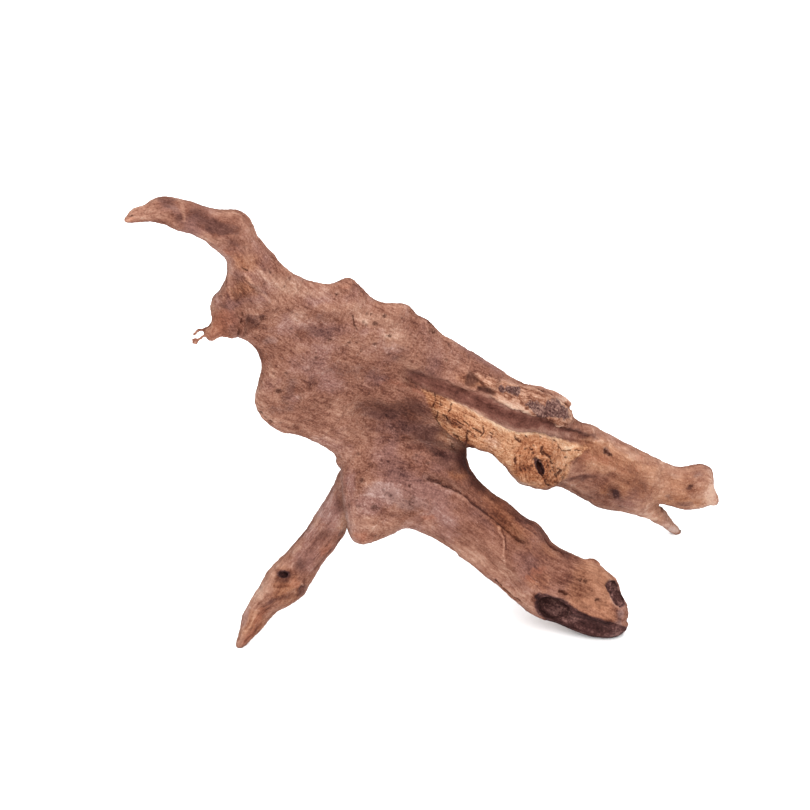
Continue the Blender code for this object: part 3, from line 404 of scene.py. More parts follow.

# Broad changes of tone, partly the wood's own and partly painted shade and painted highlights, such as
# lighter rims and darker flanks under the limbs: middle, half length, half width, turn in degrees, and steps
# of 255 lighter
TONE_AND_PAINTED_LIGHT = (
    (-116, 214, 4, 3, 0, -25), (-104, 213, 11, 4, -10, -20), (-94, 206, 8, 5, -30, -26),
    (-77, 193, 6, 5, 0, -20), (-67, 188, 8, 4, -40, -26), (-82, 180, 5, 10, 10, -6),
    (-75, 172, 6, 4, -30, -16), (-88, 168, 6, 6, 0, -22), (-80, 163, 6, 4, 0, -12),
    (-73, 147, 3, 8, 0, -20), (-69, 131, 3.5, 4, 0, -20), (-48, 157, 7, 4, 30, -16),
    (-36, 159, 10, 4, 0, -18), (-30, 144.5, 13, 3, -20, -26), (-30, 150.5, 9, 2, -20, 14),
    (-6, 145, 10, 4, 20, -20), (-47, 132, 6, 3, 0, -18), (-22, 128, 12, 6, 0, -20),
    (-12, 133, 5, 4, 0, -20), (2, 150, 15, 8, 0, -12), (5, 136, 16, 7, -20, -16),
    (16, 139, 5, 3, -45, -24), (24, 147, 5, 3, -30, -16), (8, 127, 11, 8, 0, -12),
    (0, 115, 20, 8, 0, -12), (-48, 113, 9, 6, 0, -14), (-7, 110, 10, 7, 0, -28), (6, 106, 10, 5, 0, -18),
    (24, 114, 5, 4, -30, -30), (-28, 177, 7, 6, 0, -16), (2, 166, 5, 6, 0, -16), (10, 163, 6, 4, 0, -12),
    (14, 92, 13, 5, -10, -26), (26, 88, 7, 5, -30, -10), (30, 95, 3.5, 6, 0, -44),
    (37, 81, 9, 6, -45, -6), (7, 99.5, 10, 3, -10, -26), (21, 97, 6, 3, -15, -30),
    (-6, 102, 4, 3, 0, -18), (38, 74, 8, 3, -42, 14), (-6, 90, 11, 5, 0, -14), (2, 72, 6, 5, 0, -18),
    (-22, 62, 4, 4, 0, -14), (-28, 74, 4, 8, 0, -14), (45, 70, 20, 7, -40, -22),
    (41, 63, 10, 8, -30, -30), (60, 60, 16, 4, -42, -16), (22, 64, 7, 5, 0, -12),
    (66, 44, 9, 6, -50, -32), (68, 29, 5, 4, 0, -20), (60, 35, 6, 5, 0, -16), (85, 32, 8, 6, -45, -30),
    (77, 41, 11, 5, -35, -14), (98, 22, 7, 5, 0, -14), (78, 46, 9, 3, -30, -18),
    (-48, 45, 5, 10, -20, -14), (61, 89, 4, 3, 0, -38), (70, 84.5, 5, 2, 0, -22),
    (70.5, 88.5, 2, 4, 20, -24), (-33, 54, 5, 3, 40, -18), (114, 78, 8, 4, 0, -16),
    (103, 84, 5, 3, 0, -14), (-36, 67, 3, 4, 0, -12), (110, 98, 12, 3, -28, -10),
    (42, 141, 10, 2.5, -32, -18), (66, 129.4, 8, 1.8, -20, 26), (86, 112, 4, 3, -20, -18),
    (146, 79, 5, 4, 0, -30), (118, 79, 6, 3, 0, -16), (108, 74, 6, 2.5, 0, -14), (93, 29, 9, 5, -40, -16),
    (105, 13, 4, 3, 0, -40), (80, 11, 7, 2.5, -22, -36), (47, 38, 8, 3, -40, -20),
    (-37, 122, 5, 3, 0, -22), (-56, 165, 5, 3, 0, -18), (-12, 160, 3, 4, 0, -18),
    (-60, 144, 6, 4, 0, -14), (-88, 203, 7, 3, -35, -24), (-46, 55, 6, 8, -40, -20),
    (-76, 14, 3, 5, -20, -12), (60, 124, 5, 3, 0, -14), (30, 131, 6, 3, -25, 22), (13, 131, 5, 3, 0, 18),
    (78, 125, 5, 2, -30, 30), (-97, 170, 2.5, 6, 0, 20), (-128, 222, 8, 2, 25, 24),
    (-110, 208, 10, 1.6, -20, 16), (135, 57, 4, 3, 0, 28), (117, 66.5, 8, 2, -10, 26),
    (145, 70, 9, 2, 0, 26), (86, 79, 8, 1.8, -28, 18), (74, 47, 12, 2.5, -38, 18), (-84, 1, 4, 3, 0, 28),
    (-67, 21, 8, 2, 30, 12), (26, 112, 6, 2.4, -35, -24), (18, 112.5, 3, 3, 0, -24),
    (44, 101, 6, 3, -20, 12), (15, 122, 2, 5, 0, -20), (70, 33, 6, 5, 0, -8), (-30, 68, 3, 12, 0, 22),
    (-133, 216, 8, 4, 15, 24), (-63, 179, 6, 3, -30, 20), (-30, 171, 22, 5, 0, 14),
    (-10, 157, 6, 3, 0, 20), (-86, 205, 6, 4, 0, 10), (-93, 177, 3, 12, 0, 14), (-35, 116, 11, 5, 40, 14),
    (-35, 138, 7, 4, 0, 14), (-20, 121, 11, 3, 0, 12), (-20, 110, 9, 4, 0, 14), (23, 103, 5, 3.5, 0, 18),
    (-62, 160, 8, 4, 0, 12), (-50, 162, 7, 5, 0, 14), (45, 122, 9, 3, -30, 24), (55, 118.5, 6, 3, 0, 26),
    (40, 114, 12, 3, -30, 26), (52, 110, 7, 3, -20, 20), (70, 106, 9, 3, -10, 26), (80, 95, 4, 9, 0, 30),
    (97, 103, 12, 3, -25, 14), (95, 89, 8, 6, 0, 14), (115, 94, 14, 5, -25, 18), (132, 84, 12, 9, 0, 16),
    (152, 80, 6, 10, 0, 32), (125, 66, 10, 5, -40, 26), (80, 122, 5, 4, 0, 24), (-13, 82, 8, 7, 0, 14),
    (12, 77, 3, 6, 0, 14), (-12, 60, 14, 6, 0, 12), (13, 63, 8, 4, 0, 16), (30, 48, 7, 3, -30, 22),
    (46, 37, 14, 4, -40, 18), (60, 27, 8, 3, -40, 16), (40, 46, 5, 3, -40, 14),
    (77, 20.5, 6, 3.5, -20, 20), (95, 41, 6, 3, 0, 18), (106, 30, 3, 5, 0, 16), (-31, 60, 4, 6, 0, 24),
    (-63, 42, 18, 3, 50, 14), (-76, 25, 4, 10, -30, 22), (-77, 11, 8, 6, 50, 22), (-46, 53, 9, 4, 45, 14),
    (-70, 29, 3, 9, -27, 14), (-48, 35, 2.5, 6, -30, 20), (-55, 48, 3, 3, 0, -16),
    (-51, 39, 3, 6, -30, -14), (-62, 28, 6, 4, 20, 16), (-43, 67, 2.5, 8, -28, 28),
    (-82, 174, 7, 3, 0, -22), (-76, 166.5, 8, 2.5, 0, 20), (-74, 126, 2.5, 8, 0, 26),
    (-66, 112.5, 8, 3, -35, 22), (-44, 107, 8, 2.5, -20, 18), (-90, 187, 2.5, 8, 0, 20),
    (154, 78, 3, 8, 0, 24), (128, 92, 10, 2.5, -22, 22), (0, 171, 10, 2, 0, 12), (-38, 182, 12, 2, 0, 14),
    (-59, 188, 4, 4, -45, 16), (115, 69, 8, 2, -10, 16), (57, 82, 5, 3, -35, 22),
    (33, 44, 4, 3, -40, -16), (52, 27, 8, 2, -42, -14), (1, 96, 6, 3, -35, 26), (-3, 138, 6, 3, 0, 18),
    (0, 147, 5, 3, 0, 18), (-17, 143, 5, 2.5, 0, 14), (60, 118, 9, 2.5, -20, 18), (15, 112, 7, 3, 0, 20),
    (33, 117, 5, 2.5, -25, 18), (17, 129, 5, 3, 0, 12), (36, 83, 7, 5, -45, -34),
    (61, 62, 8, 3, -45, -22), (-2, 88, 6, 5, 0, -18), (13, 80, 14, 4, -20, -18), (-43, 155, 9, 3, 0, -22),
    (-35, 157, 5, 2.5, 0, -10), (-48, 172.5, 4, 3, 0, -20), (-32, 71, 4, 8, 10, -20),
    (-20, 63, 5, 4, 0, -20), (38, 140, 8, 3, -33, -18), (9, 63, 5, 4, 0, -22), (20, 56, 6, 3, -30, -18),
    (-66, 131, 3, 4, 0, -16), (87, 94, 4, 7, -20, -18), (23, 96, 5, 3, 0, -18), (34, 104, 8, 3, -20, -12),
    (-34, 107, 6, 3, 0, -16), (56, 35, 5, 4, 0, -14), (-5, 155, 3, 3, 0, -14), (-40, 135, 8, 4, 0, -8),
    (64, 116, 9, 2, -25, 22), (35, 120.5, 4, 3, -20, -24), (56, 124, 6, 2.5, -20, -16),
    (44, 131, 6, 2, -30, -14), (76, 120, 5, 3, 0, -14), (63, 104, 5, 3, 0, -16), (56, 97, 4, 3, 0, -12),
    (-3, 96, 5, 4, 0, -20), (-9, 103, 8, 3, 0, -10), (-8, 75, 6, 4, 0, -14), (35, 56, 9, 4, -20, -14),
    (84, 25, 6, 3, -30, -16), (130, 89.5, 8, 3, -15, -12), (46, 140, 12, 2, -32, 24),
    (95, 109, 7, 2, -28, 18), (22, 154, 5, 2, -35, 18), (5, 167, 4, 2, -50, 16), (-97, 168, 2, 6, 0, 18),
    (-96, 201, 6, 2, -35, 18), (-115, 224, 8, 2, -5, 20), (-135, 219, 6, 2, 30, 14),
    (61, 81.5, 6, 2.5, -10, 16), (156, 73, 3, 5, 0, 24), (134, 60, 4, 5, 0, 20),
    (86, 79, 8, 2.5, -28, 14), (-74, 25, 3, 6, -27, 16), (-83, 1, 3, 3, 0, 12), (-72, 11, 4, 3, 40, 14),
    (-62.5, 33.5, 4, 2.5, 0, -24), (-55, 33, 4, 2, 0, -12), (81, 12.5, 6, 2, -20, -16),
    (27, 89, 4, 3, 0, 18), (-83, 160, 6, 3, 0, -16), (-54, 182, 6, 3, 0, -12), (-88, 197, 4, 3, 0, -14),
    (38, 118, 5, 3, -20, -12), (60, 128, 5, 2, -20, 16), (125, 80, 5, 3, 0, 12), (106, 78, 4, 3, 0, 12),
    (-37, 55, 4, 3, 0, -14), (52, 44, 5, 7, 0, -8), (14, 141, 6, 3, -35, -12), (68, 33, 5, 4, 0, 12),
    (80, 25, 6, 4, -30, 14), (86.5, 14, 2, 1.6, 0, 16), (81, 13.5, 6, 3, -20, -32),
    (106, 9.5, 5, 3, 0, 18), (52, 98, 5, 5, 0, 12), (68, 95, 3, 3, 0, 10),
)
# Streaks of tone, partly the wood's own and partly painted shadow lines under the flap, the sliver and the
# ridge, with painted light on the lip of the bank: a line, its half width, and steps of 255 lighter
STREAKS_OF_TONE_AND_PAINTED_LIGHT = (
    (((24, 128.5), (33, 125), (42, 120.5), (50, 116.5), (60, 114.5)), 2.6, -16),
    (((66, 113.2), (72, 111), (80, 108.2), (88, 107)), 1.1, -30), (((84, 105.6), (91, 104.8)), 1.3, -30),
    (((13, 131.5), (22, 129.5), (30, 126.5)), 2.6, -14),
    (((43, 120), (52, 115.4), (60, 112.2), (72, 109.2)), 2.3, -20),
    (((36, 118), (46, 113.3), (55, 109.5), (66, 109), (76, 106.8)), 1.6, 14),
    (((78, 106), (88, 104.5), (98, 102)), 1.3, 16), (((80, 103.5), (90, 102.8), (100, 101)), 1.0, -18),
    (((22, 123.7), (30, 120.6), (40, 114.8), (48, 110.8), (55, 107.6), (64, 107.8),
      (72, 105.6)), 1.9, 26), (((24, 120), (34, 114.5), (44, 108.5)), 1.1, -14),
    (((30, 117.5), (40, 112), (49, 106)), 0.9, -12),
    (((40, 107), (46, 103.5), (50, 98.5), (51.5, 94)), 0.9, -16),
    (((44, 109), (50, 104), (53, 98)), 0.8, -14), (((24.5, 105), (30, 101.3), (34, 100.4)), 1.1, -34),
    (((73.5, 105.2), (76, 103.2), (77.8, 101), (80, 99.2), (86, 100.4)), 1.4, 24),
    (((45.5, 126), (50, 122.5), (54, 118.6)), 1.6, 14),
    (((66.5, 128.8), (72, 126.6), (78, 123.4), (80.8, 121.4)), 0.8, -26),
    (((81.3, 122), (81.9, 120.8)), 1.3, -50),
    (((57, 132), (65, 130.2), (73, 127.8), (80, 124)), 1.2, -16),
    (((12, 84.3), (17, 82.6), (22.5, 80), (31, 75), (37.5, 69.5), (46, 62), (52.5, 57),
      (59, 52)), 0.8, -36),
    (((11, 82.9), (22, 78.5), (30.5, 73.6), (37, 68), (45, 60.8), (52, 55.4)), 1.4, 12),
    (((46.5, 60), (49, 54), (49.4, 49), (49, 45), (50.3, 41.5)), 0.7, 32),
    (((48, 58.5), (50, 54), (50.4, 49)), 0.7, -28),
    (((66, 26), (70, 26.2), (76, 23.8), (82, 20.2), (88, 16.8), (95, 14.3), (102, 12.4)), 1.7, -22),
    (((65.6, 25), (67, 20), (70.5, 15.5)), 2.6, -44), (((103, 25.5), (105, 22.2), (107.6, 20)), 0.9, 26),
    (((105.5, 18.4), (108.5, 16.6)), 1.2, -22), (((-81, 184.5), (-78, 180.5), (-73, 176.5)), 1.4, -26),
    (((-80, 186), (-76, 181), (-70, 176), (-66, 172)), 1.2, 18),
    (((-63.6, 37.6), (-61, 36.4), (-58.4, 37.4)), 2.2, -30), (((-64, 32), (-60, 31.4)), 2.6, -4),
    (((-54, 28.6), (-51.5, 30.5), (-50.6, 33)), 1.5, -34), (((-51.9, 31.6), (-51, 30.6)), 0.8, 50),
    (((-78.3, 10), (-76, 14), (-74.4, 18)), 0.9, 16), (((-79.8, 9), (-77.7, 13)), 0.8, -26),
    (((-70.5, 19), (-67, 22), (-64, 24.6), (-58, 24.8), (-54, 26)), 1.7, -16),
    (((-73, 21.5), (-68, 26.4), (-63, 27.6)), 1.0, -14), (((-65, 30.2), (-58, 30.4)), 0.9, -26),
    (((-72, 11), (-76, 6.5), (-80, 3)), 1.0, -30), (((-70, 15), (-66, 19)), 1.2, 18),
    (((-57, 33), (-52.5, 32.6)), 1.8, 16), (((-57, 47), (-53, 50)), 1.4, 12),
    (((-50, 46), (-44, 54)), 1.3, -16), (((-40, 45), (-45, 38), (-49, 31)), 1.0, -6),
    (((83, 85.6), (87, 87.3), (93, 87.4)), 1.2, 14), (((82, 84.3), (88, 85.6), (95, 85)), 1.0, -16),
    (((74, 82.8), (78, 82), (82, 80.6)), 0.9, -26), (((-82, 219.5), (-76.5, 213), (-74, 205)), 1.4, 14),
    (((45, 34), (48, 31), (53, 26.8), (58, 22.4)), 1.2, -20), (((106, 13.5), (110, 14.2)), 1.0, -18),
    (((-66.5, 129), (-64, 125), (-62.5, 118)), 1.2, 10), (((84, 79), (93, 74.5)), 1.2, -14),
    (((57, 129.6), (63, 127.4), (70, 124.8)), 0.9, -36), (((60, 125), (66, 122.8)), 1.0, -22),
    (((57.5, 122.4), (61, 119.6)), 1.1, -38), (((60.5, 119), (65.4, 116.6)), 0.8, -38),
    (((72, 114.2), (76, 112)), 0.9, -44), (((76.4, 113.6), (80, 111.6)), 0.9, -40),
    (((66, 115.8), (70, 114.4)), 0.9, -40), (((56, 126.6), (60, 125.2)), 1.4, 22),
    (((66, 120.8), (68, 119.2)), 0.9, 34), (((70, 112.2), (80, 110.2)), 1.2, 22),
    (((74.6, 118.4), (75.2, 119.6)), 1.0, 44), (((64.8, 118.4), (67, 117.4)), 0.9, 40),
    (((72, 122.8), (76, 120.4)), 0.9, 26), (((37.5, 128.8), (41, 127.6), (44.4, 126.8)), 1.7, -40),
    (((34, 137.4), (37, 133), (40, 130.4)), 1.0, -22), (((36, 136.4), (41, 132), (46, 127)), 1.2, 20),
    (((48, 133.4), (58, 130.8)), 1.1, 14), (((76, 21.4), (79, 21), (81.4, 20)), 1.6, -30),
    (((74, 18), (78, 17.6)), 1.6, 20), (((84, 14.4), (88, 12)), 1.8, 6),
    (((90, 15.6), (96, 13.6), (103, 11)), 1.5, -26), (((79, 14.6), (80.8, 12.4)), 0.7, 44),
    (((-85, 187), (-82, 182), (-80, 176)), 1.6, -18), (((-88, 186), (-87, 178), (-86, 172)), 1.4, 14),
)
STEPS_OF_TONE = 52.0
# Where the wood is warmer in colour: middle, half length, half width, turn in degrees, strength
WARMTH = (
    (20, 108, 7, 12, 0, 0.7), (45, 112, 18, 6, -25, 0.7), (68, 94, 16, 12, 0, 0.6),
    (80, 118, 8, 6, 0, 0.8), (52, 126, 16, 5, -25, 0.6), (97, 99, 16, 6, -15, 0.8),
    (112, 88, 22, 12, -20, 0.7), (140, 80, 18, 11, 0, 0.6), (126, 66, 10, 6, -35, 0.4),
    (66, 33, 9, 6, 0, 0.6), (92, 18, 20, 8, -25, 0.6), (52, 28, 12, 4, -40, 0.5), (-60, 33, 8, 8, 0, 0.7),
    (-75, 12, 9, 6, 50, 0.8), (-35, 105, 9, 6, 0, 0.4), (-80, 192, 9, 8, 0, 0.8),
    (-81, 178, 8, 6, 0, 0.8), (50, 64, 22, 8, -45, 0.8), (104, 30, 6, 8, 0, 0.3),
    (34, 133, 8, 4, -20, 0.8), (18, 94, 14, 4, -15, 0.45), (27, 88, 6, 5, 0, 0.9),
    (-10, 119.5, 14, 3, 0, 0.7), (72, 48, 9, 7, 0, 0.6), (104, 77, 8, 4, 0, 0.9),
    (140, 73, 14, 3, 0, 0.7), (96, 92, 8, 8, 0, 0.7), (-60, 26, 9, 5, 25, 0.7), (4, 118, 10, 8, 0, 0.5),
)

# How the surface stands where a finish lies, in millimetres
LIFTS = {"flap": 0.8, "dent": -1.6, "crotch": -0.8, "end_hole": -1.2}
GROOVE_DEPTH = 1.5
LIP_LIFT, LIP_HALF_WIDTH = 0.8, 1.7
BANK_STEP, BANK_HALF_WIDTH = 1.0, 1.1
PIT_DEPTH, SMALL_PIT_DEPTH = 1.0, 0.4
SCOOP_BELOW_PIT = ((-63, 33.2), (-60, 32.6))
SCOOP_DEPTH, SCOOP_HALF_WIDTH = 1.0, 3.0
# Where the groove runs in under the flap, and where it fades out, from its start to its end
UNDER_FLAP = (36.0, 50.0)
GROOVE_SHALLOWS = (72.0, 90.0)
GROOVE_FADES = (72.0, 92.0)
BURL_REACH = 15.0
# Lengths over which drawn outlines wander, fray and drift, and over which the bare wood's cracks bend
WANDER_LENGTH, RAGGED_LENGTH, DRIFT_LENGTH, BEND_LENGTH = 7.0, 2.2, 11.0, 3.0
# Relief drawn out along the grain: its length, its width, its seed and its layers
FLUTES = (60.0, 7.0, 41, 2)
LONG_STREAKS = (26.0, 2.4, 51, 3)
SHORT_STREAKS = (7.0, 1.5, 61, 2)

# Thin bits that stand off the wood: points as (across, up, back), and half the thickness at each
SLIVERS = (
    (((62, 131, -1), (68, 129.4, 3), (74, 127.2, 8), (79.2, 124.2, 13), (83, 121.3, 17)),
     (0.8, 1.2, 1.3, 1.2, 1.1)),
    (((-98, 159.8, -107), (-101.5, 159, -107), (-103.8, 157.9, -107), (-105.7, 156, -107)),
     (1.1, 0.9, 0.8, 0.7)),
    (((-99.5, 156, -107), (-101.4, 155.2, -107), (-103.6, 153.6, -107)), (0.9, 0.65, 0.65)),
    (((-106.5, 152.6, -107), (-105, 152.9, -107), (-103.5, 152.4, -107)), (1.3, 1.9, 1.5)),
    (((-98, 156, -107), (-97.6, 153.8, -107)), (1.5, 1.1)),
    (((90, 42.5, 2), (94, 42.8, 3), (97.5, 41, 4)), (1.2, 1.4, 1.0)),
    (((104, 18.5, -3), (107, 19.5, 0), (109.6, 18.6, 4)), (2.0, 2.3, 1.8)),
    (((104, 14.2, -3), (107, 14.8, 0), (109.8, 15.2, 4)), (1.7, 1.7, 1.4)),
    (((103, 9.5, -1), (107, 9.8, 1), (109.6, 9.4, 4)), (2.3, 2.9, 1.9)),
    (((28, 46.6, -15), (36, 40.5, -12.5), (44, 34.5, -10.5), (52, 28.4, -8.5)), (0.7, 1.0, 1.0, 0.7)),
)


def on_plane(across, up, back=0.0):
    """Point in metres, from its place on the drawing plane and behind it."""
    return (RIGHT * across + UP * up + BACK * back - np.array((MIDDLE_X, MIDDLE_Y, 0.0))) * MM


def to_plane(co):
    """The opposite: (across, up, back) in millimetres of each point in metres."""
    return (co / MM + np.array((MIDDLE_X, MIDDLE_Y, 0.0))) @ np.stack((RIGHT, UP, BACK), axis=1)


# Noise and distances, on many points at once

LATTICE = 64
FAR_OFF = 9.0
LAYER_FADE = 0.55
LAYER_SHIFT = 17.3


@functools.lru_cache(maxsize=None)
def lattice(seed):
    """A repeatable number from 0 to 1 at each corner of a grid, which then repeats."""
    return np.random.default_rng(seed).random(LATTICE ** 3, dtype=np.float32)


def lattice_steps(cells):
    """Steps into the lattice for each cell, along its three directions."""
    return ((cells & (LATTICE - 1)) * (LATTICE ** 2, LATTICE, 1)).T


def soft_noise(points, seed=0):
    """Smooth noise from -1 to 1 with lumps about one unit across."""
    base = np.floor(points).astype(np.int64)
    part = points - base
    along_x, along_y, along_z = (part * part * (3.0 - 2.0 * part)).T
    table = lattice(seed)
    near, far = lattice_steps(base), lattice_steps(base + 1)

    def column(x, y):
        low = table[x + y + near[2]]
        return low + (table[x + y + far[2]] - low) * along_z

    def wall(x):
        low = column(x, near[1])
        return low + (column(x, far[1]) - low) * along_y

    low = wall(near[0])
    return (low + (wall(far[0]) - low) * along_x) * 2.0 - 1.0


def layered_noise(points, seed=0, layers=3):
    total, share = np.zeros(len(points)), 1.0
    for layer in range(layers):
        total += share * soft_noise(points * 2.0 ** layer + LAYER_SHIFT * layer, seed + layer)
        share *= LAYER_FADE
    return total / (1.0 + LAYER_FADE * (layers > 1))


def nearest_spots(points, seed=0, share=1.0):
    """Distances to the two nearest random spots, one in each unit cell or in a share of the cells."""
    base = np.floor(points).astype(np.int64)
    first = np.full(len(points), FAR_OFF)
    second = np.full(len(points), FAR_OFF)
    for step in itertools.product((-1, 0, 1), repeat=3):
        cell = base + step
        index = lattice_steps(cell).sum(axis=0)
        gap = np.zeros(len(points))
        for k in range(3):
            gap += (cell[:, k] + lattice(seed + k)[index] - points[:, k]) ** 2
        gap = np.sqrt(gap)
        gap[lattice(seed + 3)[index] > share] = FAR_OFF
        second = np.minimum(second, np.maximum(first, gap))
        first = np.minimum(first, gap)
    return first, second


def ease(value, low, high):
    """0 below low, 1 above high, and a smooth change between."""
    t = np.clip((value - low) / (high - low), 0.0, 1.0)
    return t * t * (3.0 - 2.0 * t)


def distance_to_line(points, line):
    """Shortest distance on the drawing plane from each point to a line of points."""
    nearest = np.full(len(points), np.inf)
    for start, end in zip(line, line[1:]):
        start, run = np.array(start, dtype=float), np.subtract(end, start)
        along = np.clip((points - start) @ run / (run @ run), 0.0, 1.0)
        gap = np.linalg.norm(points - start - along[:, None] * run, axis=1)
        nearest = np.minimum(nearest, gap)
    return nearest


def depth_inside(points, outline):
    """Distance from each point to a region's edge, positive inside it."""
    inside = np.zeros(len(points), dtype=bool)
    for (x0, y0), (x1, y1) in zip(outline, outline[1:] + outline[:1]):
        if y0 == y1:
            continue
        crossed = (points[:, 1] < y0) != (points[:, 1] < y1)
        inside ^= crossed & (points[:, 0] < (x1 - x0) * (points[:, 1] - y0) / (y1 - y0) + x0)
    gap = distance_to_line(points, outline + outline[:1])
    return np.where(inside, gap, -gap)


# Form of the whole piece of wood

def smooth_rows(rows, step):
    """The rows joined by a Catmull-Rom curve, with a row about every step millimetres."""
    rows = np.array(rows, dtype=float)
    last = len(rows) - 1
    curve = []
    for i in range(last):
        before, start, end, after = (rows[k] for k in (max(i - 1, 0), i, i + 1, min(i + 2, last)))
        apart = np.linalg.norm((end - start)[:4]) / math.sqrt(2.0)
        count = max(1, round(apart / step))
        for k in range(count):
            t = k / count
            curve.append(0.5 * (2.0 * start + (end - before) * t
                                + (2.0 * before - 5.0 * start + 4.0 * end - after) * t ** 2
                                + (3.0 * start - before - 3.0 * end + after) * t ** 3))
    curve.append(rows[last])
    return curve


def rib_ring(rib):
    """Points of a rounded section through a rib's two outline points."""
    upper, lower = np.array(rib[0:2]), np.array(rib[2:4])
    middle, reach = (upper + lower) / 2.0, (upper - lower) / 2.0
    for k in range(RING_SIDES):
        angle = 2.0 * math.pi * k / RING_SIDES
        side = math.copysign(abs(math.cos(angle)) ** RING_SQUARENESS, math.cos(angle))
        through = math.copysign(abs(math.sin(angle)) ** RING_SQUARENESS, math.sin(angle))
        across, up = middle + reach * side
        yield on_plane(across, up, rib[4] + through * rib[5] / 2.0)


def add_loft(bm, ribs):
    rings = [[bm.verts.new(p) for p in rib_ring(rib)] for rib in smooth_rows(ribs, RIB_STEP)]
    for near, far in zip(rings, rings[1:]):
        for k in range(RING_SIDES):
            n = (k + 1) % RING_SIDES
            bm.faces.new((near[k], near[n], far[n], far[k]))
    bm.faces.new(rings[0][::-1])
    bm.faces.new(rings[-1])


def add_object(name, mesh):
    obj = bpy.data.objects.new(name, mesh)
    bpy.context.scene.collection.objects.link(obj)
    return obj


def apply_modifiers(obj):
    depsgraph = bpy.context.evaluated_depsgraph_get()
    mesh = bpy.data.meshes.new_from_object(obj.evaluated_get(depsgraph))
    old = obj.data
    obj.modifiers.clear()
    obj.data = mesh
    bpy.data.meshes.remove(old)


def remesh(obj, voxel, smooth_passes):
    grown = obj.modifiers.new("Grown together", "REMESH")
    grown.mode = "VOXEL"
    grown.voxel_size = voxel * MM
    worn = obj.modifiers.new("Worn smooth", "SMOOTH")
    worn.factor = 0.5
    worn.iterations = smooth_passes
    apply_modifiers(obj)


def read_skin(mesh):
    """Coordinates and normals of a mesh's points."""
    count = len(mesh.vertices)
    co, normal = np.empty(count * 3), np.empty(count * 3)
    mesh.vertices.foreach_get("co", co)
    mesh.vertex_normals.foreach_get("vector", normal)
    return co.reshape(-1, 3), normal.reshape(-1, 3)


def move_skin(mesh, co):
    mesh.vertices.foreach_set("co", co.ravel())
    mesh.update()


def carve_main_relief(mesh):
    """The relief that the solids have: ridges and grooves near, slow swells on the far side."""
    co, normal = read_skin(mesh)
    flat = to_plane(co)[:, :2]
    facing = np.clip(normal @ -BACK * 2.0, 0.0, 1.0)
    rise = np.zeros(len(co))
    for line, half_width, height in FACE_RELIEF:
        near = np.clip(1.0 - (distance_to_line(flat, line) / half_width) ** 2, 0.0, 1.0)
        rise += height * near ** 2
    co += (rise * facing * MM)[:, None] * -BACK
    swell = np.array([noise.noise(Vector(p) / (FAR_SIDE_SWELL_LENGTH * MM)) for p in co])
    away = np.clip(normal @ BACK * 1.5, 0.0, 1.0)
    co += ((swell * away * FAR_SIDE_SWELL + SMOOTHING_LOSS) * MM)[:, None] * normal
    move_skin(mesh, co)


def hollow_cutter(middle, half_sizes, turn):
    """A lumpy egg that rots one hollow out of the wood."""
    mesh = bpy.data.meshes.new("hollow")
    bm = bmesh.new()
    bmesh.ops.create_uvsphere(bm, u_segments=48, v_segments=28, radius=1.0)
    angle = math.radians(turn)
    along = math.cos(angle) * RIGHT + math.sin(angle) * UP
    across = math.cos(angle) * UP - math.sin(angle) * RIGHT
    axes = np.stack([axis * size * MM for axis, size in zip((along, across, -BACK), half_sizes)])
    for vert in bm.verts:
        lump = 1.0 + HOLLOW_LUMPS * noise.noise(vert.co * 3.0 + Vector(middle))
        vert.co = Vector(np.array(vert.co) * lump @ axes + on_plane(*middle))
    bm.to_mesh(mesh)
    bm.free()
    return add_object("hollow", mesh)


def add_sliver(bm, path, radii):
    """A thin rounded splinter along a few points."""
    rows = [(*point, radius) for point, radius in zip(path, radii)]
    rows = np.array(smooth_rows(rows, 1.0))
    rings = []
    for k, row in enumerate(rows):
        run = rows[min(k + 1, len(rows) - 1)][:3] - rows[max(k - 1, 0)][:3]
        side = np.cross(run, (0.0, 0.0, 1.0))
        side /= np.linalg.norm(side)
        over = np.cross(side, run / np.linalg.norm(run))
        angles = np.arange(SLIVER_SIDES) * math.tau / SLIVER_SIDES
        ring = [row[:3] + row[3] * (math.cos(a) * side + math.sin(a) * over) for a in angles]
        rings.append([bm.verts.new(on_plane(*point)) for point in ring])
    for near, far in zip(rings, rings[1:]):
        for k in range(SLIVER_SIDES):
            n = (k + 1) % SLIVER_SIDES
            bm.faces.new((near[k], near[n], far[n], far[k]))
    bm.faces.new(rings[0][::-1])
    bm.faces.new(rings[-1])


def add_slivers(whole):
    bm = bmesh.new()
    bm.from_mesh(whole.data)
    first = len(bm.faces)
    for path, radii in SLIVERS:
        add_sliver(bm, path, radii)
    bm.faces.ensure_lookup_table()
    bmesh.ops.recalc_face_normals(bm, faces=bm.faces[first:])
    bm.to_mesh(whole.data)
    bm.free()


def grow_whole():
    """The whole piece of wood in one fine skin, before its surface is worn."""
    mesh = bpy.data.meshes.new("whole")
    bm = bmesh.new()
    for ribs in LIMBS:
        add_loft(bm, ribs)
    bmesh.ops.recalc_face_normals(bm, faces=bm.faces)
    bm.to_mesh(mesh)
    bm.free()
    whole = add_object("whole", mesh)
    remesh(whole, FORM_VOXEL, 4)
    carve_main_relief(whole.data)
    cutters = [hollow_cutter(*hollow) for hollow in HOLLOWS + NOTCHES]
    for cutter in cutters:
        boolean = whole.modifiers.new("Rotted out", "BOOLEAN")
        boolean.operation = "DIFFERENCE"
        boolean.solver = "EXACT"
        boolean.object = cutter
    apply_modifiers(whole)
    add_slivers(whole)
    remesh(whole, SKIN_VOXEL, 2)
    for cutter in cutters:
        bpy.data.objects.remove(cutter, do_unlink=True)
    return whole


# Wear and colour of the skin, point by point

# Middle line of the trunk's grain, as (across, up, back)
TRUNK_FLOW = ((-96, 214, -135), (-82, 190, -122), (-66, 168, -108), (-42, 152, -92), (-12, 139, -72),
              (18, 128, -46), (60, 110, -10))


def middles(ribs):
    rows = np.array(smooth_rows(ribs, 6.0))
    return np.column_stack(((rows[:, 0] + rows[:, 2]) / 2.0, (rows[:, 1] + rows[:, 3]) / 2.0, rows[:, 4]))


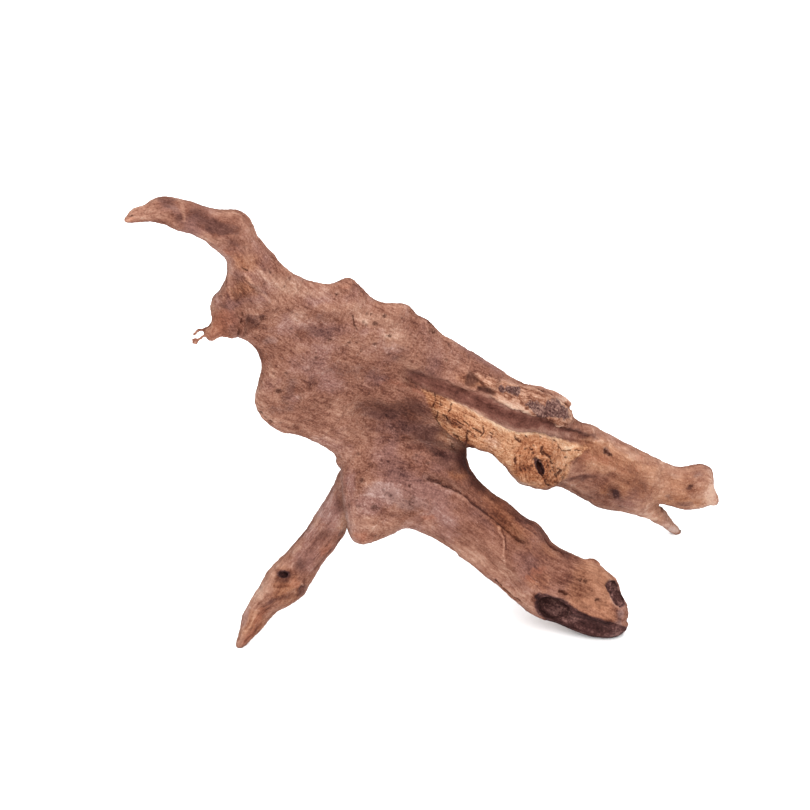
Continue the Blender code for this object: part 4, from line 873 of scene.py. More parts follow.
def along_line(points, line):
    """Place of each point along a line, then its offsets from it to the side and back, in millimetres."""
    nearest = np.full(len(points), np.inf)
    place = np.zeros((len(points), 3))
    travelled = 0.0
    for start, end in zip(line, line[1:]):
        run = end - start
        length = np.linalg.norm(run)
        share = np.clip((points - start) @ run / length ** 2, 0.0, 1.0)
        off = points - start - share[:, None] * run
        gap = np.einsum("ij,ij->i", off, off)
        side = np.cross(run / length, (0.0, 0.0, 1.0))
        nearer = gap < nearest
        nearest[nearer] = gap[nearer]
        place[nearer, 0] = travelled + share[nearer] * length
        place[nearer, 1] = off[nearer] @ side
        place[nearer, 2] = off[nearer, 2]
        travelled += length
    return place


def region_depths(surface):
    """Depth of each point inside each region, in millimetres, negative outside and on the far side."""
    depths = {}
    for name, (outlines, _) in REGIONS.items():
        depth = np.max([depth_inside(surface["jagged"], outline) for outline in outlines], axis=0)
        seen = surface["below"] if name == "mouth" else surface["near"]
        depths[name] = np.clip(depth, -FARTHEST, FARTHEST) - 2.0 * FARTHEST * (1.0 - seen)
    return depths


def stroke(points, line, half_width):
    """1 along a line, fading to 0 at half_width from it."""
    return np.clip(1.0 - (distance_to_line(points, line) / half_width) ** 2, 0.0, 1.0)


def oval_reach(points, x, y, half_length, half_width, turn):
    """Squared distance of each point from an oval's middle: 0 there, 1 on the oval."""
    angle = math.radians(turn)
    off = points - (x, y)
    along = (off[:, 0] * math.cos(angle) + off[:, 1] * math.sin(angle)) / half_length
    aside = (off[:, 1] * math.cos(angle) - off[:, 0] * math.sin(angle)) / half_width
    return along ** 2 + aside ** 2


def stained(points, stains):
    """Share of a stain on each point, from soft ovals that darken one another."""
    clear = np.ones(len(points))
    for *oval, strength in stains:
        clear *= 1.0 - strength * np.exp(-1.1 * oval_reach(points, *oval) ** 1.3)
    return 1.0 - clear


def tone_with_painted_light(surface):
    """Change of tone on each point, partly the wood's own and partly painted shade and painted highlights,
    in the units of the finish's ramps.
    """
    steps = np.zeros(len(surface["place"]))
    for *oval, lighter in TONE_AND_PAINTED_LIGHT:
        steps += lighter * np.exp(-oval_reach(surface["drifted"], *oval))
    for line, half_width, lighter in STREAKS_OF_TONE_AND_PAINTED_LIGHT:
        steps += lighter * stroke(surface["jagged"], line, half_width)
    return steps / STEPS_OF_TONE


def drift_of(place, length, seeds, layers):
    """How far each point drifts from its place, one direction for each seed."""
    return np.stack([layered_noise(place / length, seed, layers) for seed in seeds], axis=1)


def read_surface(co, normal):
    """What the wear of each point depends on: where it lies, how it faces, and the grain there."""
    place = to_plane(co)
    facing = normal @ -BACK
    wander = drift_of(place, WANDER_LENGTH, (3, 6), 3)
    ragged = drift_of(place, RAGGED_LENGTH, (9, 12), 2)
    drift = drift_of(place, DRIFT_LENGTH, (23, 26), 3)
    flat = place[:, :2] + wander * 1.1
    limb_share = np.zeros(len(co))
    limb_grain = np.zeros((len(co), 3))
    for fork, ribs in LIMB_OF_FORK.items():
        share = ease(depth_inside(place[:, :2], FORKS[fork]), -14.0, 10.0)
        chosen = share > limb_share
        limb_grain[chosen] = along_line(place[chosen], middles(ribs))
        limb_share[chosen] = share[chosen]
    trunk_grain = along_line(place, np.array(TRUNK_FLOW, dtype=float))
    return {"place": place, "near": ease(facing, -0.2, 0.15), "below": ease(facing, -0.7, -0.4),
            "flat": flat, "ragged": flat + ragged * 0.8, "drifted": flat + drift * 2.6 + ragged * 0.6,
            "jagged": place[:, :2] + wander * 0.5 + ragged * 0.55,
            "limb_share": limb_share, "limb_grain": limb_grain, "trunk_grain": trunk_grain}


def streaks(surface, length, width, seed, layers=3):
    """Noise drawn out along the grain, -1 to 1."""
    size = np.array((length, width, width))
    trunk = layered_noise(surface["trunk_grain"] / size, seed, layers)
    limb = layered_noise(surface["limb_grain"] / size, seed + 4, layers)
    share = surface["limb_share"]
    return trunk * (1.0 - share) + limb * share


def bare_wood(place):
    """Grain, hairline cracks and burl of the bare wood."""
    bank = distance_to_line(place[:, :2], RIDGE_LINE)
    along = place[:, 0] - 0.45 * place[:, 1]
    ridge_grain = np.column_stack((along, bank, place[:, 2]))
    bend = drift_of(place, BEND_LENGTH, (13, 15, 17), 2)
    first, second = nearest_spots(ridge_grain / (9.0, 4.5, 6.0) + 0.3 * bend, 27)
    ridge_gap = second - first + ease(layered_noise(place / 6.0, 29, 2), 0.3, -0.05)
    from_burl = (place[:, :2] - BURL) * (1.0, 0.85)
    reach = np.linalg.norm(from_burl, axis=1)
    turn = from_burl / np.maximum(reach, 0.1)[:, None]
    burl_grain = np.column_stack((turn * 2.2, reach + 1.5 * layered_noise(place / 6.0, 35, 2)))
    return {"ridge_grain": ridge_grain, "burl_grain": burl_grain, "ridge_gap": ridge_gap,
            "grain_lines": layered_noise(ridge_grain / (14.0, 1.0, 5.0), 21, 3),
            "burl": ease(BURL_REACH - reach, 0.0, 3.0),
            "burl_rings": np.sin(reach * 1.9 + 6.0 * layered_noise(place / 7.0, 33, 3))}


def scored(surface):
    """Rise of each point from pits, cracks, crests and the groove's bank, and its gap to them."""
    near, ragged = surface["near"], surface["ragged"]
    pit_gap = np.full(len(near), FARTHEST)
    for middle, radius in PITS:
        pit_gap = np.minimum(pit_gap, np.linalg.norm((ragged - middle) * (0.8, 1.0), axis=1) / radius)
    pit_gap += FARTHEST * (1.0 - near)
    rise = -PIT_DEPTH * np.clip(1.0 - pit_gap ** 2, 0.0, 1.0)
    crack_gap = np.full(len(near), FARTHEST)
    broken = 0.7 * ease(layered_noise(surface["place"] / 5.0, 31, 2), -0.3, -0.9)
    for line, half_width, depth in CRACKS:
        gap = distance_to_line(surface["jagged"], line) / half_width
        rise -= depth * np.sqrt(np.clip(1.0 - gap, 0.0, 1.0)) * near
        crack_gap = np.minimum(crack_gap, gap + broken)
    for line, half_width, height in CRESTS:
        rise += height * stroke(surface["flat"], line, half_width) * near
    bank_gap = distance_to_line(ragged, GROOVE_BANK) / BANK_HALF_WIDTH
    rise -= BANK_STEP * np.sqrt(np.clip(1.0 - bank_gap, 0.0, 1.0)) * near
    return rise, {"pit_gap": pit_gap, "crack_gap": crack_gap + FARTHEST * (1.0 - near)}


def wear(surface):
    """Rise of each point in millimetres, and what the finish reads on it."""
    place, flat, near = (surface[key] for key in ("place", "flat", "near"))
    on_limb = surface["limb_share"]
    on_trunk = 1.0 - on_limb
    depths = region_depths(surface)
    share = {name: ease(depths[name], -soft, soft) for name, (_, soft) in REGIONS.items()}
    share["groove"] *= 1.0 - 0.75 * ease(flat[:, 0], *GROOVE_SHALLOWS)
    share["flap"] *= 1.0 - share["groove"]
    share["torn"] *= 1.0 - share["mouth"]
    # Stains, partly painted shade and painted light
    stains = {kind: stained(surface["drifted"], ovals) * near for kind, ovals in STAINS.items()}
    rust = ease(depth_inside(flat, FORKS["left_stub"]), -5.0, 3.0)
    under_flap = ease(flat[:, 0], *UNDER_FLAP)
    bare = bare_wood(place)
    bare["burl"] = bare["burl"] * share["bare"]
    hairlines = ease(0.06 - bare["ridge_gap"], 0.0, 0.06)

    flutes = streaks(surface, *FLUTES)
    long_streak = streaks(surface, *LONG_STREAKS)
    short_streak = streaks(surface, *SHORT_STREAKS)
    lumps = layered_noise(place / 7.0, 71, 3)
    knobs = layered_noise(place / 2.6, 77, 2)
    fine = soft_noise(place / 1.3, 79)
    pebbles = 0.5 - nearest_spots(place / 2.4, 81)[0]
    spots = nearest_spots(surface["trunk_grain"] / (7.0, 4.6, 4.6), 91, 0.6)[0]
    small_pit = ease(0.2 - spots, 0.0, 0.12) * (0.15 + 0.85 * on_trunk) * (1.0 - share["bare"])

    skin = 0.55 * flutes * (0.3 + 0.7 * on_limb)
    skin += 0.32 * long_streak * (0.5 + 0.5 * on_limb) + 0.24 * short_streak
    skin += 0.38 * lumps + 0.24 * knobs * (0.4 + 0.6 * on_trunk) + 0.14 * fine
    rise = skin * (1.0 - 0.75 * np.maximum(share["bare"], share["mouth"]))
    rise += share["bare"] * (0.45 * bare["grain_lines"] + 0.5 * lumps + 0.2 * knobs + 0.2 * fine
                             - 0.7 * hairlines)
    rise += bare["burl"] * (0.1 * bare["burl_rings"] + 0.45 * knobs + 0.15 * fine)
    rise += 0.7 * pebbles * share["pebbled"]
    rise -= (GROOVE_DEPTH + 0.4 * lumps) * share["groove"] * (0.45 + 0.55 * under_flap)
    for region, lift in LIFTS.items():
        rise += lift * share[region]
    rise += (0.2 + 0.3 * knobs + 0.25 * fine + 0.25 * pebbles) * share["crust"]
    rise -= 0.4 * stains["dark"] * (1.0 + knobs)
    rise += share["torn"] * (0.5 * knobs + 0.45 * long_streak)
    rise += rust * (0.5 * knobs + 0.3 * long_streak)
    rise -= SMALL_PIT_DEPTH * small_pit
    rise += LIP_LIFT * stroke(surface["ragged"], MOUTH_LIP, LIP_HALF_WIDTH) * near
    rise -= SCOOP_DEPTH * stroke(flat, SCOOP_BELOW_PIT, SCOOP_HALF_WIDTH) * near
    scores, gaps = scored(surface)

    # The relief noise once more, for the finish to paint crests lighter and hollows darker
    relief = (0.4 * flutes + long_streak + short_streak + 0.6 * lumps + 0.6 * knobs) / 2.2
    return rise + scores, {
        **depths, **stains, **bare, **gaps, "rust": rust, "shade": tone_with_painted_light(surface) * near,
        "warm": stained(surface["drifted"], WARMTH) * near, "small_pit": small_pit,
        "under_flap": under_flap, "groove_fade": ease(flat[:, 0], *GROOVE_FADES), "relief": relief,
        "limb_share": on_limb, "rot": rotten(place), "trunk_grain": surface["trunk_grain"],
        "limb_grain": surface["limb_grain"]}


def rotten(place):
    """1 on the walls of the hollows, 0 elsewhere."""
    rot = np.zeros(len(place))
    for middle, half_sizes, turn in HOLLOWS:
        angle = math.radians(turn)
        turned = np.array(((math.cos(angle), math.sin(angle)), (-math.sin(angle), math.cos(angle))))
        off = place - middle
        off[:, :2] = off[:, :2] @ turned.T
        gap = np.linalg.norm(off / (np.array(half_sizes) + 0.4), axis=1)
        rot = np.maximum(rot, ease(1.14 - gap, 0.0, 0.12))
    return rot


def store(mesh, name, values):
    """Keeps a number or a place on each point of the mesh."""
    kind, field = ("FLOAT", "value") if values.ndim == 1 else ("FLOAT_VECTOR", "vector")
    attribute = mesh.attributes.new(name, kind, "POINT")
    attribute.data.foreach_set(field, values.astype(np.float32).ravel())


def weather(mesh):
    """Wears the skin, and keeps on each point what its finish reads."""
    co, normal = read_skin(mesh)
    rise, kept = wear(read_surface(co, normal))
    for name, values in kept.items():
        store(mesh, name, values)
    co += (rise * MM)[:, None] * normal
    co[:, 2] = np.maximum(co[:, 2], 0.0)
    move_skin(mesh, co)


def thin_far_side(obj):
    """Fewer, larger faces on the far side, where they are seen least."""
    co, normal = read_skin(obj.data)
    away = ease(normal @ BACK, 0.1, 0.35)
    group = obj.vertex_groups.new(name="Far side")
    for level in range(1, 5):
        chosen = np.nonzero(np.round(away * 4).astype(int) == level)[0].tolist()
        group.add(chosen, level / 4.0, "REPLACE")
    thinned = obj.modifiers.new("Thinned", "DECIMATE")
    thinned.vertex_group = group.name
    thinned.ratio = 1.0 - FAR_SIDE_THINNING
    apply_modifiers(obj)
    obj.vertex_groups.clear()


def cut_at_forks(mesh):
    """New edges along each fork's seam, so that the skin can be parted there."""
    bm = bmesh.new()
    bm.from_mesh(mesh)
    for outline in FORKS.values():
        start, end = np.array(outline[0]), np.array(outline[1])
        length = np.linalg.norm(end - start)
        side = np.array((end[1] - start[1], start[0] - end[0])) / length
        middle = (start + end) / 2.0
        bm.verts.ensure_lookup_table()
        off = to_plane(np.array([v.co for v in bm.verts]))[:, :2] - middle
        close = (np.abs(off @ side) < 2.5) & (np.linalg.norm(off, axis=1) < length / 2.0 + 6.0)
        faces = {f for i in np.nonzero(close)[0] for f in bm.verts[i].link_faces}
        edges = {e for f in faces for e in f.edges}
        corners = {v for f in faces for v in f.verts}
        bmesh.ops.bisect_plane(bm, geom=[*corners, *edges, *faces], dist=2e-5,
                               plane_co=Vector(on_plane(*middle)),
                               plane_no=Vector(side[0] * RIGHT + side[1] * UP))
    bm.to_mesh(mesh)
    bm.free()


def close_rims(bm, rim):
    """Closes each rim with a narrow collar inwards and flat faces inside the collar."""
    inwards = {}
    for vert in {v for edge in rim for v in edge.verts}:
        along = sum((f.calc_center_median() - vert.co for f in vert.link_faces), Vector())
        inwards[vert] = (along.normalized() - vert.normal) * COLLAR * MM
    grown = bmesh.ops.extrude_edge_only(bm, edges=rim)["geom"]
    left = {v for v in grown if isinstance(v, bmesh.types.BMVert)}
    for vert in left:
        outer = next(v for v in (e.other_vert(vert) for e in vert.link_edges) if v in inwards)
        vert.co = outer.co + inwards[outer]
    while left:
        loop = [left.pop()]
        for vert in loop:
            for edge in vert.link_edges:
                other = edge.other_vert(vert)
                if other in left:
                    left.remove(other)
                    loop.append(other)
        points = np.array([v.co for v in loop])
        across_it = np.linalg.svd(points - points.mean(axis=0), full_matrices=False)[2][2]
        edges = {e for v in loop for e in v.link_edges if e.is_boundary}
        bmesh.ops.triangle_fill(bm, edges=list(edges), use_beauty=True, normal=Vector(across_it))
    bmesh.ops.holes_fill(bm, edges=[e for e in bm.edges if e.is_boundary], sides=0)
    bmesh.ops.recalc_face_normals(bm, faces=bm.faces)


def part_skin(whole):
    """The whole skin as closed pieces, one for each node."""
    mesh = whole.data
    count = len(mesh.polygons)
    centre = np.empty(count * 3)
    mesh.polygons.foreach_get("center", centre)
    flat = to_plane(centre.reshape(-1, 3))[:, :2]
    owner = np.zeros(count, dtype=int)
    for k, outline in enumerate(FORKS.values()):
        owner[depth_inside(flat, outline) > 0.0] = k + 1
    pieces = {}
    for k, name in enumerate((TRUNK, *FORKS)):
        bm = bmesh.new()
        bm.from_mesh(mesh)
        bm.faces.ensure_lookup_table()
        unwanted = [bm.faces[i] for i in np.nonzero(owner != k)[0]]
        bmesh.ops.delete(bm, geom=unwanted, context="FACES")
        rim = [e for e in bm.edges if e.is_boundary]
        for edge in rim:
            edge.smooth = False
        close_rims(bm, rim)
        part = bpy.data.meshes.new(name + "_skin")
        bm.to_mesh(part)
        bm.free()
        part.shade_smooth()
        pieces[name] = add_object(name + "_skin", part)
    return pieces


# Finish of the wood

# How much darker the wood is than its colours in the bright picture
SHADE = 0.485
# Colours of each finish, 0 to 255, from its darkest tone to its lightest
TONES = {
    "worn": ((-1.0, (76, 42, 34)), (-0.5, (116, 71, 57)), (0.0, (152, 104, 86)), (0.5, (181, 133, 112)),
             (1.0, (216, 177, 156))),
    "cool": ((-1.0, (76, 46, 45)), (0.0, (150, 106, 97)), (1.0, (210, 174, 164))),
    "warm": ((-1.0, (82, 42, 28)), (-0.5, (124, 73, 52)), (0.0, (163, 108, 80)), (0.5, (192, 138, 107)),
             (1.0, (226, 182, 152))),
    "light": ((-1.0, (128, 82, 66)), (0.0, (182, 135, 114)), (1.0, (224, 188, 166))),
    "ash": ((-1.0, (104, 76, 72)), (0.0, (164, 128, 120)), (1.0, (212, 186, 178))),
    "red": ((-1.0, (98, 50, 38)), (0.0, (160, 98, 76)), (1.0, (208, 152, 126))),
    "dark": ((-1.0, (46, 24, 24)), (0.0, (98, 62, 56)), (1.0, (156, 114, 102))),
    "bare": ((-1.0, (84, 40, 24)), (-0.5, (144, 86, 58)), (0.0, (190, 134, 99)), (0.5, (214, 163, 127)),
             (1.0, (238, 200, 168))),
    "bare_ash": ((-1.0, (92, 54, 44)), (0.0, (184, 136, 115)), (1.0, (232, 200, 180))),
    "burl": ((-1.0, (66, 30, 18)), (-0.4, (142, 82, 54)), (0.1, (184, 122, 86)), (1.0, (228, 178, 144))),
    "torn": ((-1.0, (104, 58, 42)), (0.0, (178, 124, 96)), (1.0, (218, 172, 144))),
    "flap": ((-1.0, (84, 44, 34)), (-0.35, (148, 96, 74)), (0.15, (200, 150, 124)), (1.0, (234, 198, 174))),
    "dent": ((-1.0, (52, 28, 24)), (0.0, (100, 62, 52)), (1.0, (150, 104, 88))),
    "crust": ((-0.8, (62, 36, 34)), (0.0, (104, 71, 65)), (0.8, (156, 118, 106))),
    "groove": ((-1.0, (78, 40, 33)), (0.0, (138, 88, 76)), (1.0, (192, 144, 126))),
    "hollow": ((-1.0, (38, 18, 18)), (0.0, (84, 52, 49)), (1.0, (160, 116, 108))),
    "rust": ((-0.8, (92, 50, 38)), (0.0, (158, 100, 78)), (0.8, (216, 172, 146))),
}
DASH, FLECK, CRUST_SPECK = (88, 52, 46), (206, 170, 154), (186, 148, 130)
# The crotch's colour is painted shade where the limbs part
RIDGE_LINES, RIDGE_CRACK, CROTCH_PAINTED_SHADE = (120, 72, 52), (96, 52, 34), (62, 30, 26)
PIN_PIT, PIT, CRACK = (74, 43, 38), (78, 42, 33), (70, 32, 22)
MATT, SMOOTHEST = 0.9, 0.74
SHINE = 0.06
CRUST_GRAIN = 1.6
BUMP_STRENGTH, BUMP_HEIGHT = 0.7, 0.0005
# The shader's noise runs from 0 to 1 and seldom gets far from 0.5
NOISE_SPREAD = 4.0


def paint(red, green, blue):
    """Colour for a shader from its value in the picture, 0 to 255 each."""
    linear = []
    for part in (red, green, blue):
        part /= 255.0
        linear.append(SHADE * (part / 12.92 if part <= 0.04045 else ((part + 0.055) / 1.055) ** 2.4))
    return (*linear, 1.0)


class Wiring:
    """Short ways to add and join a material's nodes."""

    def __init__(self, name):
        self.material = bpy.data.materials.new(name)
        self.material.use_nodes = True
        self.nodes = self.material.node_tree.nodes
        self.links = self.material.node_tree.links
        self.shader = self.nodes["Principled BSDF"]

    def put(self, socket, value):
        if isinstance(value, bpy.types.NodeSocket):
            self.links.new(value, socket)
        else:
            socket.default_value = value

    def attribute(self, name, output="Fac"):
        node = self.nodes.new("ShaderNodeAttribute")
        node.attribute_name = name
        return node.outputs[output]

    def math(self, operation, first, second=0.0):
        node = self.nodes.new("ShaderNodeMath")
        node.operation = operation
        self.put(node.inputs[0], first)
        self.put(node.inputs[1], second)
        return node.outputs[0]

    def times(self, value, factor):
        return self.math("MULTIPLY", value, factor)

    def total(self, *weighted):
        """Sum of values, each with its weight."""
        parts = [self.times(value, weight) for value, weight in weighted]
        return functools.reduce(functools.partial(self.math, "ADD"), parts)

    def stretch(self, vector, size):
        node = self.nodes.new("ShaderNodeVectorMath")
        node.operation = "DIVIDE"
        self.put(node.inputs[0], vector)
        node.inputs[1].default_value = size
        return node.outputs[0]

    def noise(self, vector, detail, roughness=0.55):
        """Noise about 0, mostly from -1 to 1."""
        node = self.nodes.new("ShaderNodeTexNoise")
        self.put(node.inputs["Vector"], vector)
        node.inputs["Scale"].default_value = 1.0
        node.inputs["Detail"].default_value = detail
        node.inputs["Roughness"].default_value = roughness
        return self.times(self.math("SUBTRACT", node.outputs["Fac"], 0.5), NOISE_SPREAD)

    def specks(self, vector, low, high):
        """1 on scattered round specks, 0 between them."""
        node = self.nodes.new("ShaderNodeTexVoronoi")
        self.put(node.inputs["Vector"], vector)
        node.inputs["Scale"].default_value = 1.0
        return self.step(node.outputs["Distance"], high, low)

    def step(self, value, low, high):
        """0 at low, 1 at high, and a smooth change between them."""
        node = self.nodes.new("ShaderNodeMapRange")
        node.interpolation_type = "SMOOTHSTEP"
        self.put(node.inputs["Value"], value)
        node.inputs["From Min"].default_value = low
        node.inputs["From Max"].default_value = high
        return node.outputs["Result"]

    def ramp(self, value, finish):
        """A finish's colours along a value that runs from -1 to 1."""
        node = self.nodes.new("ShaderNodeValToRGB")
        self.put(node.inputs[0], self.math("MULTIPLY_ADD", value, 0.5))
        node.inputs[0].links[0].from_node.inputs[2].default_value = 0.5
        elements = node.color_ramp.elements
        while len(elements) < len(TONES[finish]):
            elements.new(0.5)
        for element, (place, colour) in zip(elements, TONES[finish]):
            element.position = place / 2.0 + 0.5
            element.color = paint(*colour)
        return node.outputs["Color"]

    def mix(self, share, first, second):
        node = self.nodes.new("ShaderNodeMix")
        node.data_type = "RGBA"
        self.put(node.inputs[0], share)
        self.put(node.inputs[6], first)
        self.put(node.inputs[7], second)
        return node.outputs[2]

    def over(self, under, mask, strength, top):
        """A colour laid over another, by a mask and its strength."""
        return self.mix(self.times(mask, strength), under, top)

    def blend(self, share, first, second):
        """A value between two others."""
        node = self.nodes.new("ShaderNodeMix")
        self.put(node.inputs[0], share)
        self.put(node.inputs[2], first)
        self.put(node.inputs[3], second)
        return node.outputs[0]


class Wood(Wiring):
    """The patterns of the wood, which all its finishes share."""

    def __init__(self, name):
        super().__init__(name)
        self.place = self.nodes.new("ShaderNodeTexCoord").outputs["Object"]
        self.limb_share = self.attribute("limb_share")
        self.trunk_grain, self.limb_grain, self.ridge_grain, self.burl_grain = (
            self.attribute(part + "_grain", "Vector") for part in ("trunk", "limb", "ridge", "burl"))
        # The stored change of tone, which holds painted shade and painted highlights as well as the wood's
        # own tone
        self.shade = self.attribute("shade")
        self.band = self.grain((55.0, 6.0, 6.0), 2.0)
        self.patch = self.grain((24.0, 7.0, 7.0), 3.0)
        self.streak = self.grain((20.0, 1.6, 1.6), 4.0)
        self.fibre = self.grain((3.6, 0.7, 0.7), 2.0)
        self.cloud = self.everywhere(30.0, 2.0)
        self.mottle = self.everywhere(6.0, 5.0, 0.65)
        self.grit = self.everywhere(0.95, 1.0)
        self.fineness = self.blend(self.limb_share, 1.0, 0.7)
        self.ridge_fibre = self.noise(self.stretch(self.ridge_grain, (11.0, 0.5, 3.0)), 3.0, 0.65)
        finest = self.times(self.total((self.fibre, 0.36), (self.grit, 0.4)), self.fineness)
        # The relief adds painted light to the tone: lighter on crests, darker in hollows
        self.tone = self.total((finest, 0.86), (self.streak, 0.3), (self.mottle, 0.29),
                               (self.attribute("relief"), 0.17), (self.cloud, 0.2), (self.band, 0.27),
                               (self.patch, 0.24), (self.shade, 1.0))

    def grain(self, size, detail, roughness=0.6):
        """Noise drawn out along the grain of the trunk or the limb."""
        on_trunk = self.noise(self.stretch(self.trunk_grain, size), detail, roughness)
        on_limb = self.noise(self.stretch(self.limb_grain, size), detail, roughness)
        return self.blend(self.limb_share, on_trunk, on_limb)

    def everywhere(self, size, detail, roughness=0.6):
        """Noise with no grain, in lumps of one size."""
        return self.noise(self.stretch(self.place, (size * MM,) * 3), detail, roughness)

    def patches(self, mask, raggedness=0.35):
        """A soft mask with its edge broken up by the mottling and the grain."""
        ragged = self.total((self.attribute(mask), 1.0), (self.mottle, raggedness * 0.5),
                            (self.streak, raggedness * 0.5))
        return self.step(ragged, 0.15, 0.9)

    def inside(self, region, soft, raggedness):
        """1 inside a region, from the stored depth, with a ragged edge."""
        ragged = self.total((self.attribute(region), 1.0), (self.mottle, raggedness),
                            (self.grit, 0.35 * raggedness))
        return self.step(ragged, -soft, soft)

    def within(self, gap, raggedness, edge):
        """1 within a line or spot, from the stored gap."""
        return self.step(self.total((self.attribute(gap), 1.0), (self.grit, raggedness)), 1.0, edge)


def weathered_skin(w):
    """Brown wood that turns mauve where it is cool, with its stains, partly painted shade and light, and its
    dashes and flecks.
    """
    coolness = w.step(w.total((w.cloud, 0.7), (w.mottle, 0.3), (w.attribute("cool"), 1.1)), -0.1, 0.8)
    skin = w.over(w.ramp(w.tone, "worn"), coolness, 0.85, w.ramp(w.tone, "cool"))
    for stain, raggedness, strength in (("warm", 0.35, 0.9), ("light", 0.35, 0.75), ("ash", 0.35, 0.75),
                                        ("red", 0.6, 0.65)):
        skin = w.over(skin, w.patches(stain, raggedness), strength, w.ramp(w.tone, stain))
    dash = w.step(w.grain((2.8, 1.0, 1.0), 1.0), 0.62, 1.05)
    fleck = w.step(w.everywhere(1.1, 1.0), 0.75, 1.15)
    skin = w.over(skin, w.times(dash, 0.4), w.fineness, paint(*DASH))
    return w.over(skin, w.times(fleck, 0.35), w.fineness, paint(*FLECK))


def bare_ridge(w):
    """Tan wood without bark: its grain, the rings of the burl, hairline cracks and ashen patches."""
    line = w.step(w.noise(w.stretch(w.ridge_grain, (7.0, 0.55, 2.5)), 2.0), 0.45, 0.85)
    tone = w.total((w.attribute("grain_lines"), 0.35), (w.ridge_fibre, 0.65), (w.grit, 0.42),
                   (w.mottle, 0.4), (w.shade, 0.8))
    burl_fibre = w.noise(w.stretch(w.burl_grain, (1.0, 1.0, 0.6)), 3.0, 0.65)
    burl_tone = w.total((w.attribute("burl_rings"), 0.1), (w.mottle, 0.5), (w.grit, 0.4), (burl_fibre, 0.65),
                        (w.shade, 0.8))
    hairline = w.step(w.total((w.attribute("ridge_gap"), 1.0), (w.grit, 0.012)), 0.05, 0.015)
    bare = w.over(w.ramp(tone, "bare"), line, 0.5, paint(*RIDGE_LINES))
    bare = w.over(bare, w.attribute("burl"), 0.85, w.ramp(burl_tone, "burl"))
    bare = w.over(bare, hairline, 0.35, paint(*RIDGE_CRACK))
    return w.over(bare, w.patches("ash"), 0.7, w.ramp(tone, "bare_ash"))


def add_torn_bark(w, colour):
    """The torn end, the loose bark flap, the dark stains, partly painted shade, and the dents."""
    colour = w.over(colour, w.inside("torn", 4.0, 2.2), 0.8, w.ramp(w.tone, "torn"))
    flap_tone = w.total((w.tone, 0.85), (w.ridge_fibre, 0.7))
    colour = w.over(colour, w.inside("flap", 1.6, 1.6), 0.9, w.ramp(flap_tone, "flap"))
    colour = w.over(colour, w.patches("dark", 0.6), 0.75, w.ramp(w.tone, "dark"))
    return w.over(colour, w.inside("dent", 1.4, 1.0), 0.85, w.ramp(w.tone, "dent"))


def add_crust(w, colour):
    """Dark crust on the flap, with pale specks."""
    tone = w.total((w.grit, 0.8), (w.fibre, 0.5), (w.shade, 0.9))
    specks = w.specks(w.stretch(w.place, (CRUST_GRAIN * MM,) * 3), 0.12, 0.36)
    crust = w.over(w.ramp(tone, "crust"), specks, w.step(w.mottle, -0.2, 0.5), paint(*CRUST_SPECK))
    return w.mix(w.inside("crust", 0.4, 1.7), colour, crust)


def add_groove(w, colour):
    """The long groove, sharp where it runs under the flap, and painted shade in the crotch."""
    channel = w.noise(w.stretch(w.ridge_grain, (26.0, 1.6, 6.0)), 2.0)
    tone = w.total((w.streak, 0.3), (w.mottle, 0.25), (channel, 0.5), (w.grit, 0.25), (w.shade, 1.1))
    soft, sharp = w.inside("groove", 3.0, 0.8), w.inside("groove", 0.6, 0.5)
    in_groove = w.blend(w.attribute("under_flap"), soft, sharp)
    fading = w.blend(w.attribute("groove_fade"), 0.92, 0.3)
    colour = w.over(colour, in_groove, fading, w.ramp(tone, "groove"))
    # Painted shade in the crotch between the limbs
    return w.over(colour, w.inside("crotch", 3.0, 1.0), 0.75, paint(*CROTCH_PAINTED_SHADE))


def add_rot(w, colour):
    """Rotten wood in the hollows, and the rusty snag."""
    tone = w.total((w.streak, 0.5), (w.mottle, 0.55), (w.grit, 0.4), (w.patch, 0.3), (w.shade, 0.6))
    hollow = w.ramp(tone, "hollow")
    for mask in (w.inside("mouth", 0.5, 0.4), w.inside("end_hole", 0.6, 0.5), w.attribute("rot")):
        colour = w.mix(mask, colour, hollow)
    return w.over(colour, w.patches("rust"), 0.8, w.ramp(w.tone, "rust"))


def add_pits_and_cracks(w, colour):
    colour = w.over(colour, w.attribute("small_pit"), 0.45, paint(*PIN_PIT))
    colour = w.over(colour, w.within("pit_gap", 0.35, 0.3), 0.7, paint(*PIT))
    return w.over(colour, w.within("crack_gap", 0.2, 0.25), 0.9, paint(*CRACK))


def driftwood_finish(name):
    """Worn wood: a weathered skin, the bare ridge, and what lies on top of them, layer by layer."""
    w = Wood(name)
    colour = w.mix(w.inside("bare", 0.9, 0.6), weathered_skin(w), bare_ridge(w))
    for add_layer in (add_torn_bark, add_crust, add_groove, add_rot, add_pits_and_cracks):
        colour = add_layer(w, colour)
    w.put(w.shader.inputs["Base Color"], colour)
    w.put(w.shader.inputs["Roughness"], w.blend(w.step(w.tone, -0.6, 0.6), MATT, SMOOTHEST))
    w.shader.inputs["Specular IOR Level"].default_value = SHINE
    bump = w.nodes.new("ShaderNodeBump")
    bump.inputs["Strength"].default_value = BUMP_STRENGTH
    bump.inputs["Distance"].default_value = BUMP_HEIGHT
    w.put(bump.inputs["Height"], w.total((w.fibre, 0.4), (w.grit, 0.35), (w.streak, 0.2), (w.mottle, 0.1)))
    w.put(w.shader.inputs["Normal"], bump.outputs["Normal"])
    return w.material


# Studio

PICTURE_WIDTH = 405.0
AIM = (0.0, 121.0)
CAMERA_DISTANCE = 1500.0
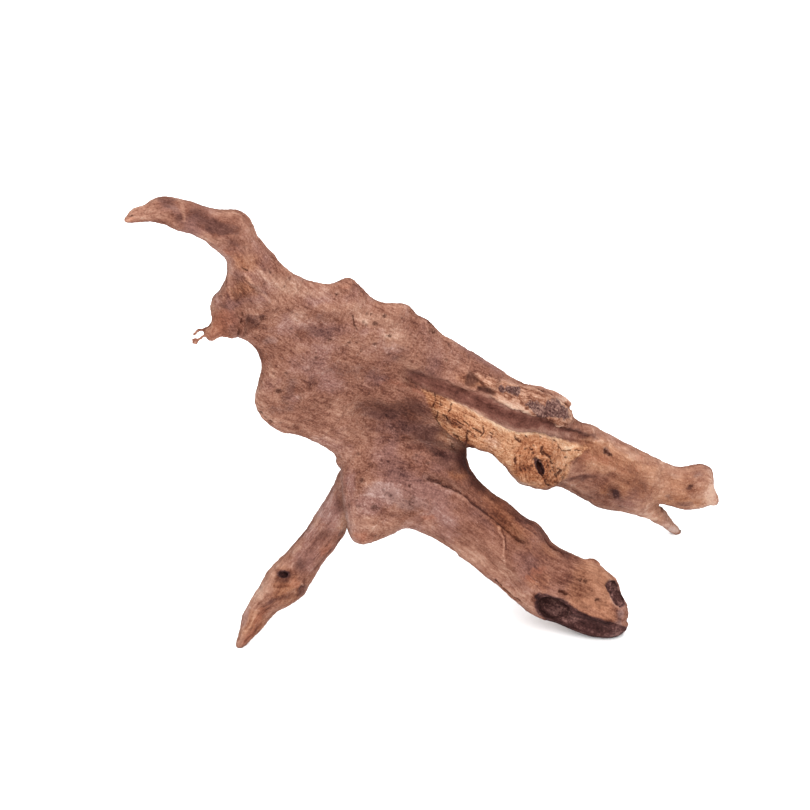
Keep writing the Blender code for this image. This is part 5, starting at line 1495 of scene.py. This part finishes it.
# Soft round lights: name, place in metres, size and power
SOFTBOXES = (("Key_light", (0.2, -2.4, 2.0), 1.8, 125.0), ("Top_light", (0.3, 0.2, 2.4), 2.0, 60.0))
LIT_POINT = (0.0, 0.0, 0.1)
FLOOR_SIZE, FLOOR_ROUGHNESS = 12.0, 0.9
FLOOR_COLOUR = (0.92, 0.92, 0.92, 1.0)


def add_camera():
    camera = bpy.data.cameras.new("Camera")
    camera.type = "ORTHO"
    camera.ortho_scale = PICTURE_WIDTH * MM
    camera.clip_end = 10.0
    obj = add_object("Camera", camera)
    obj.location = Vector(on_plane(*AIM, -CAMERA_DISTANCE))
    obj.rotation_euler = Vector(BACK).to_track_quat("-Z", "Y").to_euler()
    bpy.context.scene.camera = obj


def add_softbox(name, place, size, watts):
    lamp = bpy.data.lights.new(name, "AREA")
    lamp.shape = "DISK"
    lamp.size = size
    lamp.energy = watts
    obj = add_object(name, lamp)
    obj.location = place
    obj.rotation_euler = (Vector(LIT_POINT) - Vector(place)).to_track_quat("-Z", "Y").to_euler()


def build_studio():
    add_camera()
    for softbox in SOFTBOXES:
        add_softbox(*softbox)
    world = bpy.data.worlds.new("Studio")
    world.use_nodes = True
    world.node_tree.nodes["Background"].inputs["Color"].default_value = (1.0, 1.0, 1.0, 1.0)
    world.node_tree.nodes["Background"].inputs["Strength"].default_value = 1.0
    scene = bpy.context.scene
    scene.world = world
    scene.view_settings.view_transform = "Standard"
    bpy.ops.mesh.primitive_plane_add(size=FLOOR_SIZE)
    floor = bpy.context.object
    floor.name = "Floor"
    pale = Wiring("Pale floor")
    pale.put(pale.shader.inputs["Base Color"], FLOOR_COLOUR)
    pale.put(pale.shader.inputs["Roughness"], FLOOR_ROUGHNESS)
    floor.data.materials.append(pale.material)


def main():
    whole = grow_whole()
    thin_far_side(whole)
    cut_at_forks(whole.data)
    weather(whole.data)
    finish = driftwood_finish("Driftwood")
    for node, skin in part_skin(whole).items():
        skin.data.materials.append(finish)
        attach(skin, "root")
        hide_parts(node)
    bpy.data.objects.remove(whole, do_unlink=True)
    build_studio()


main()
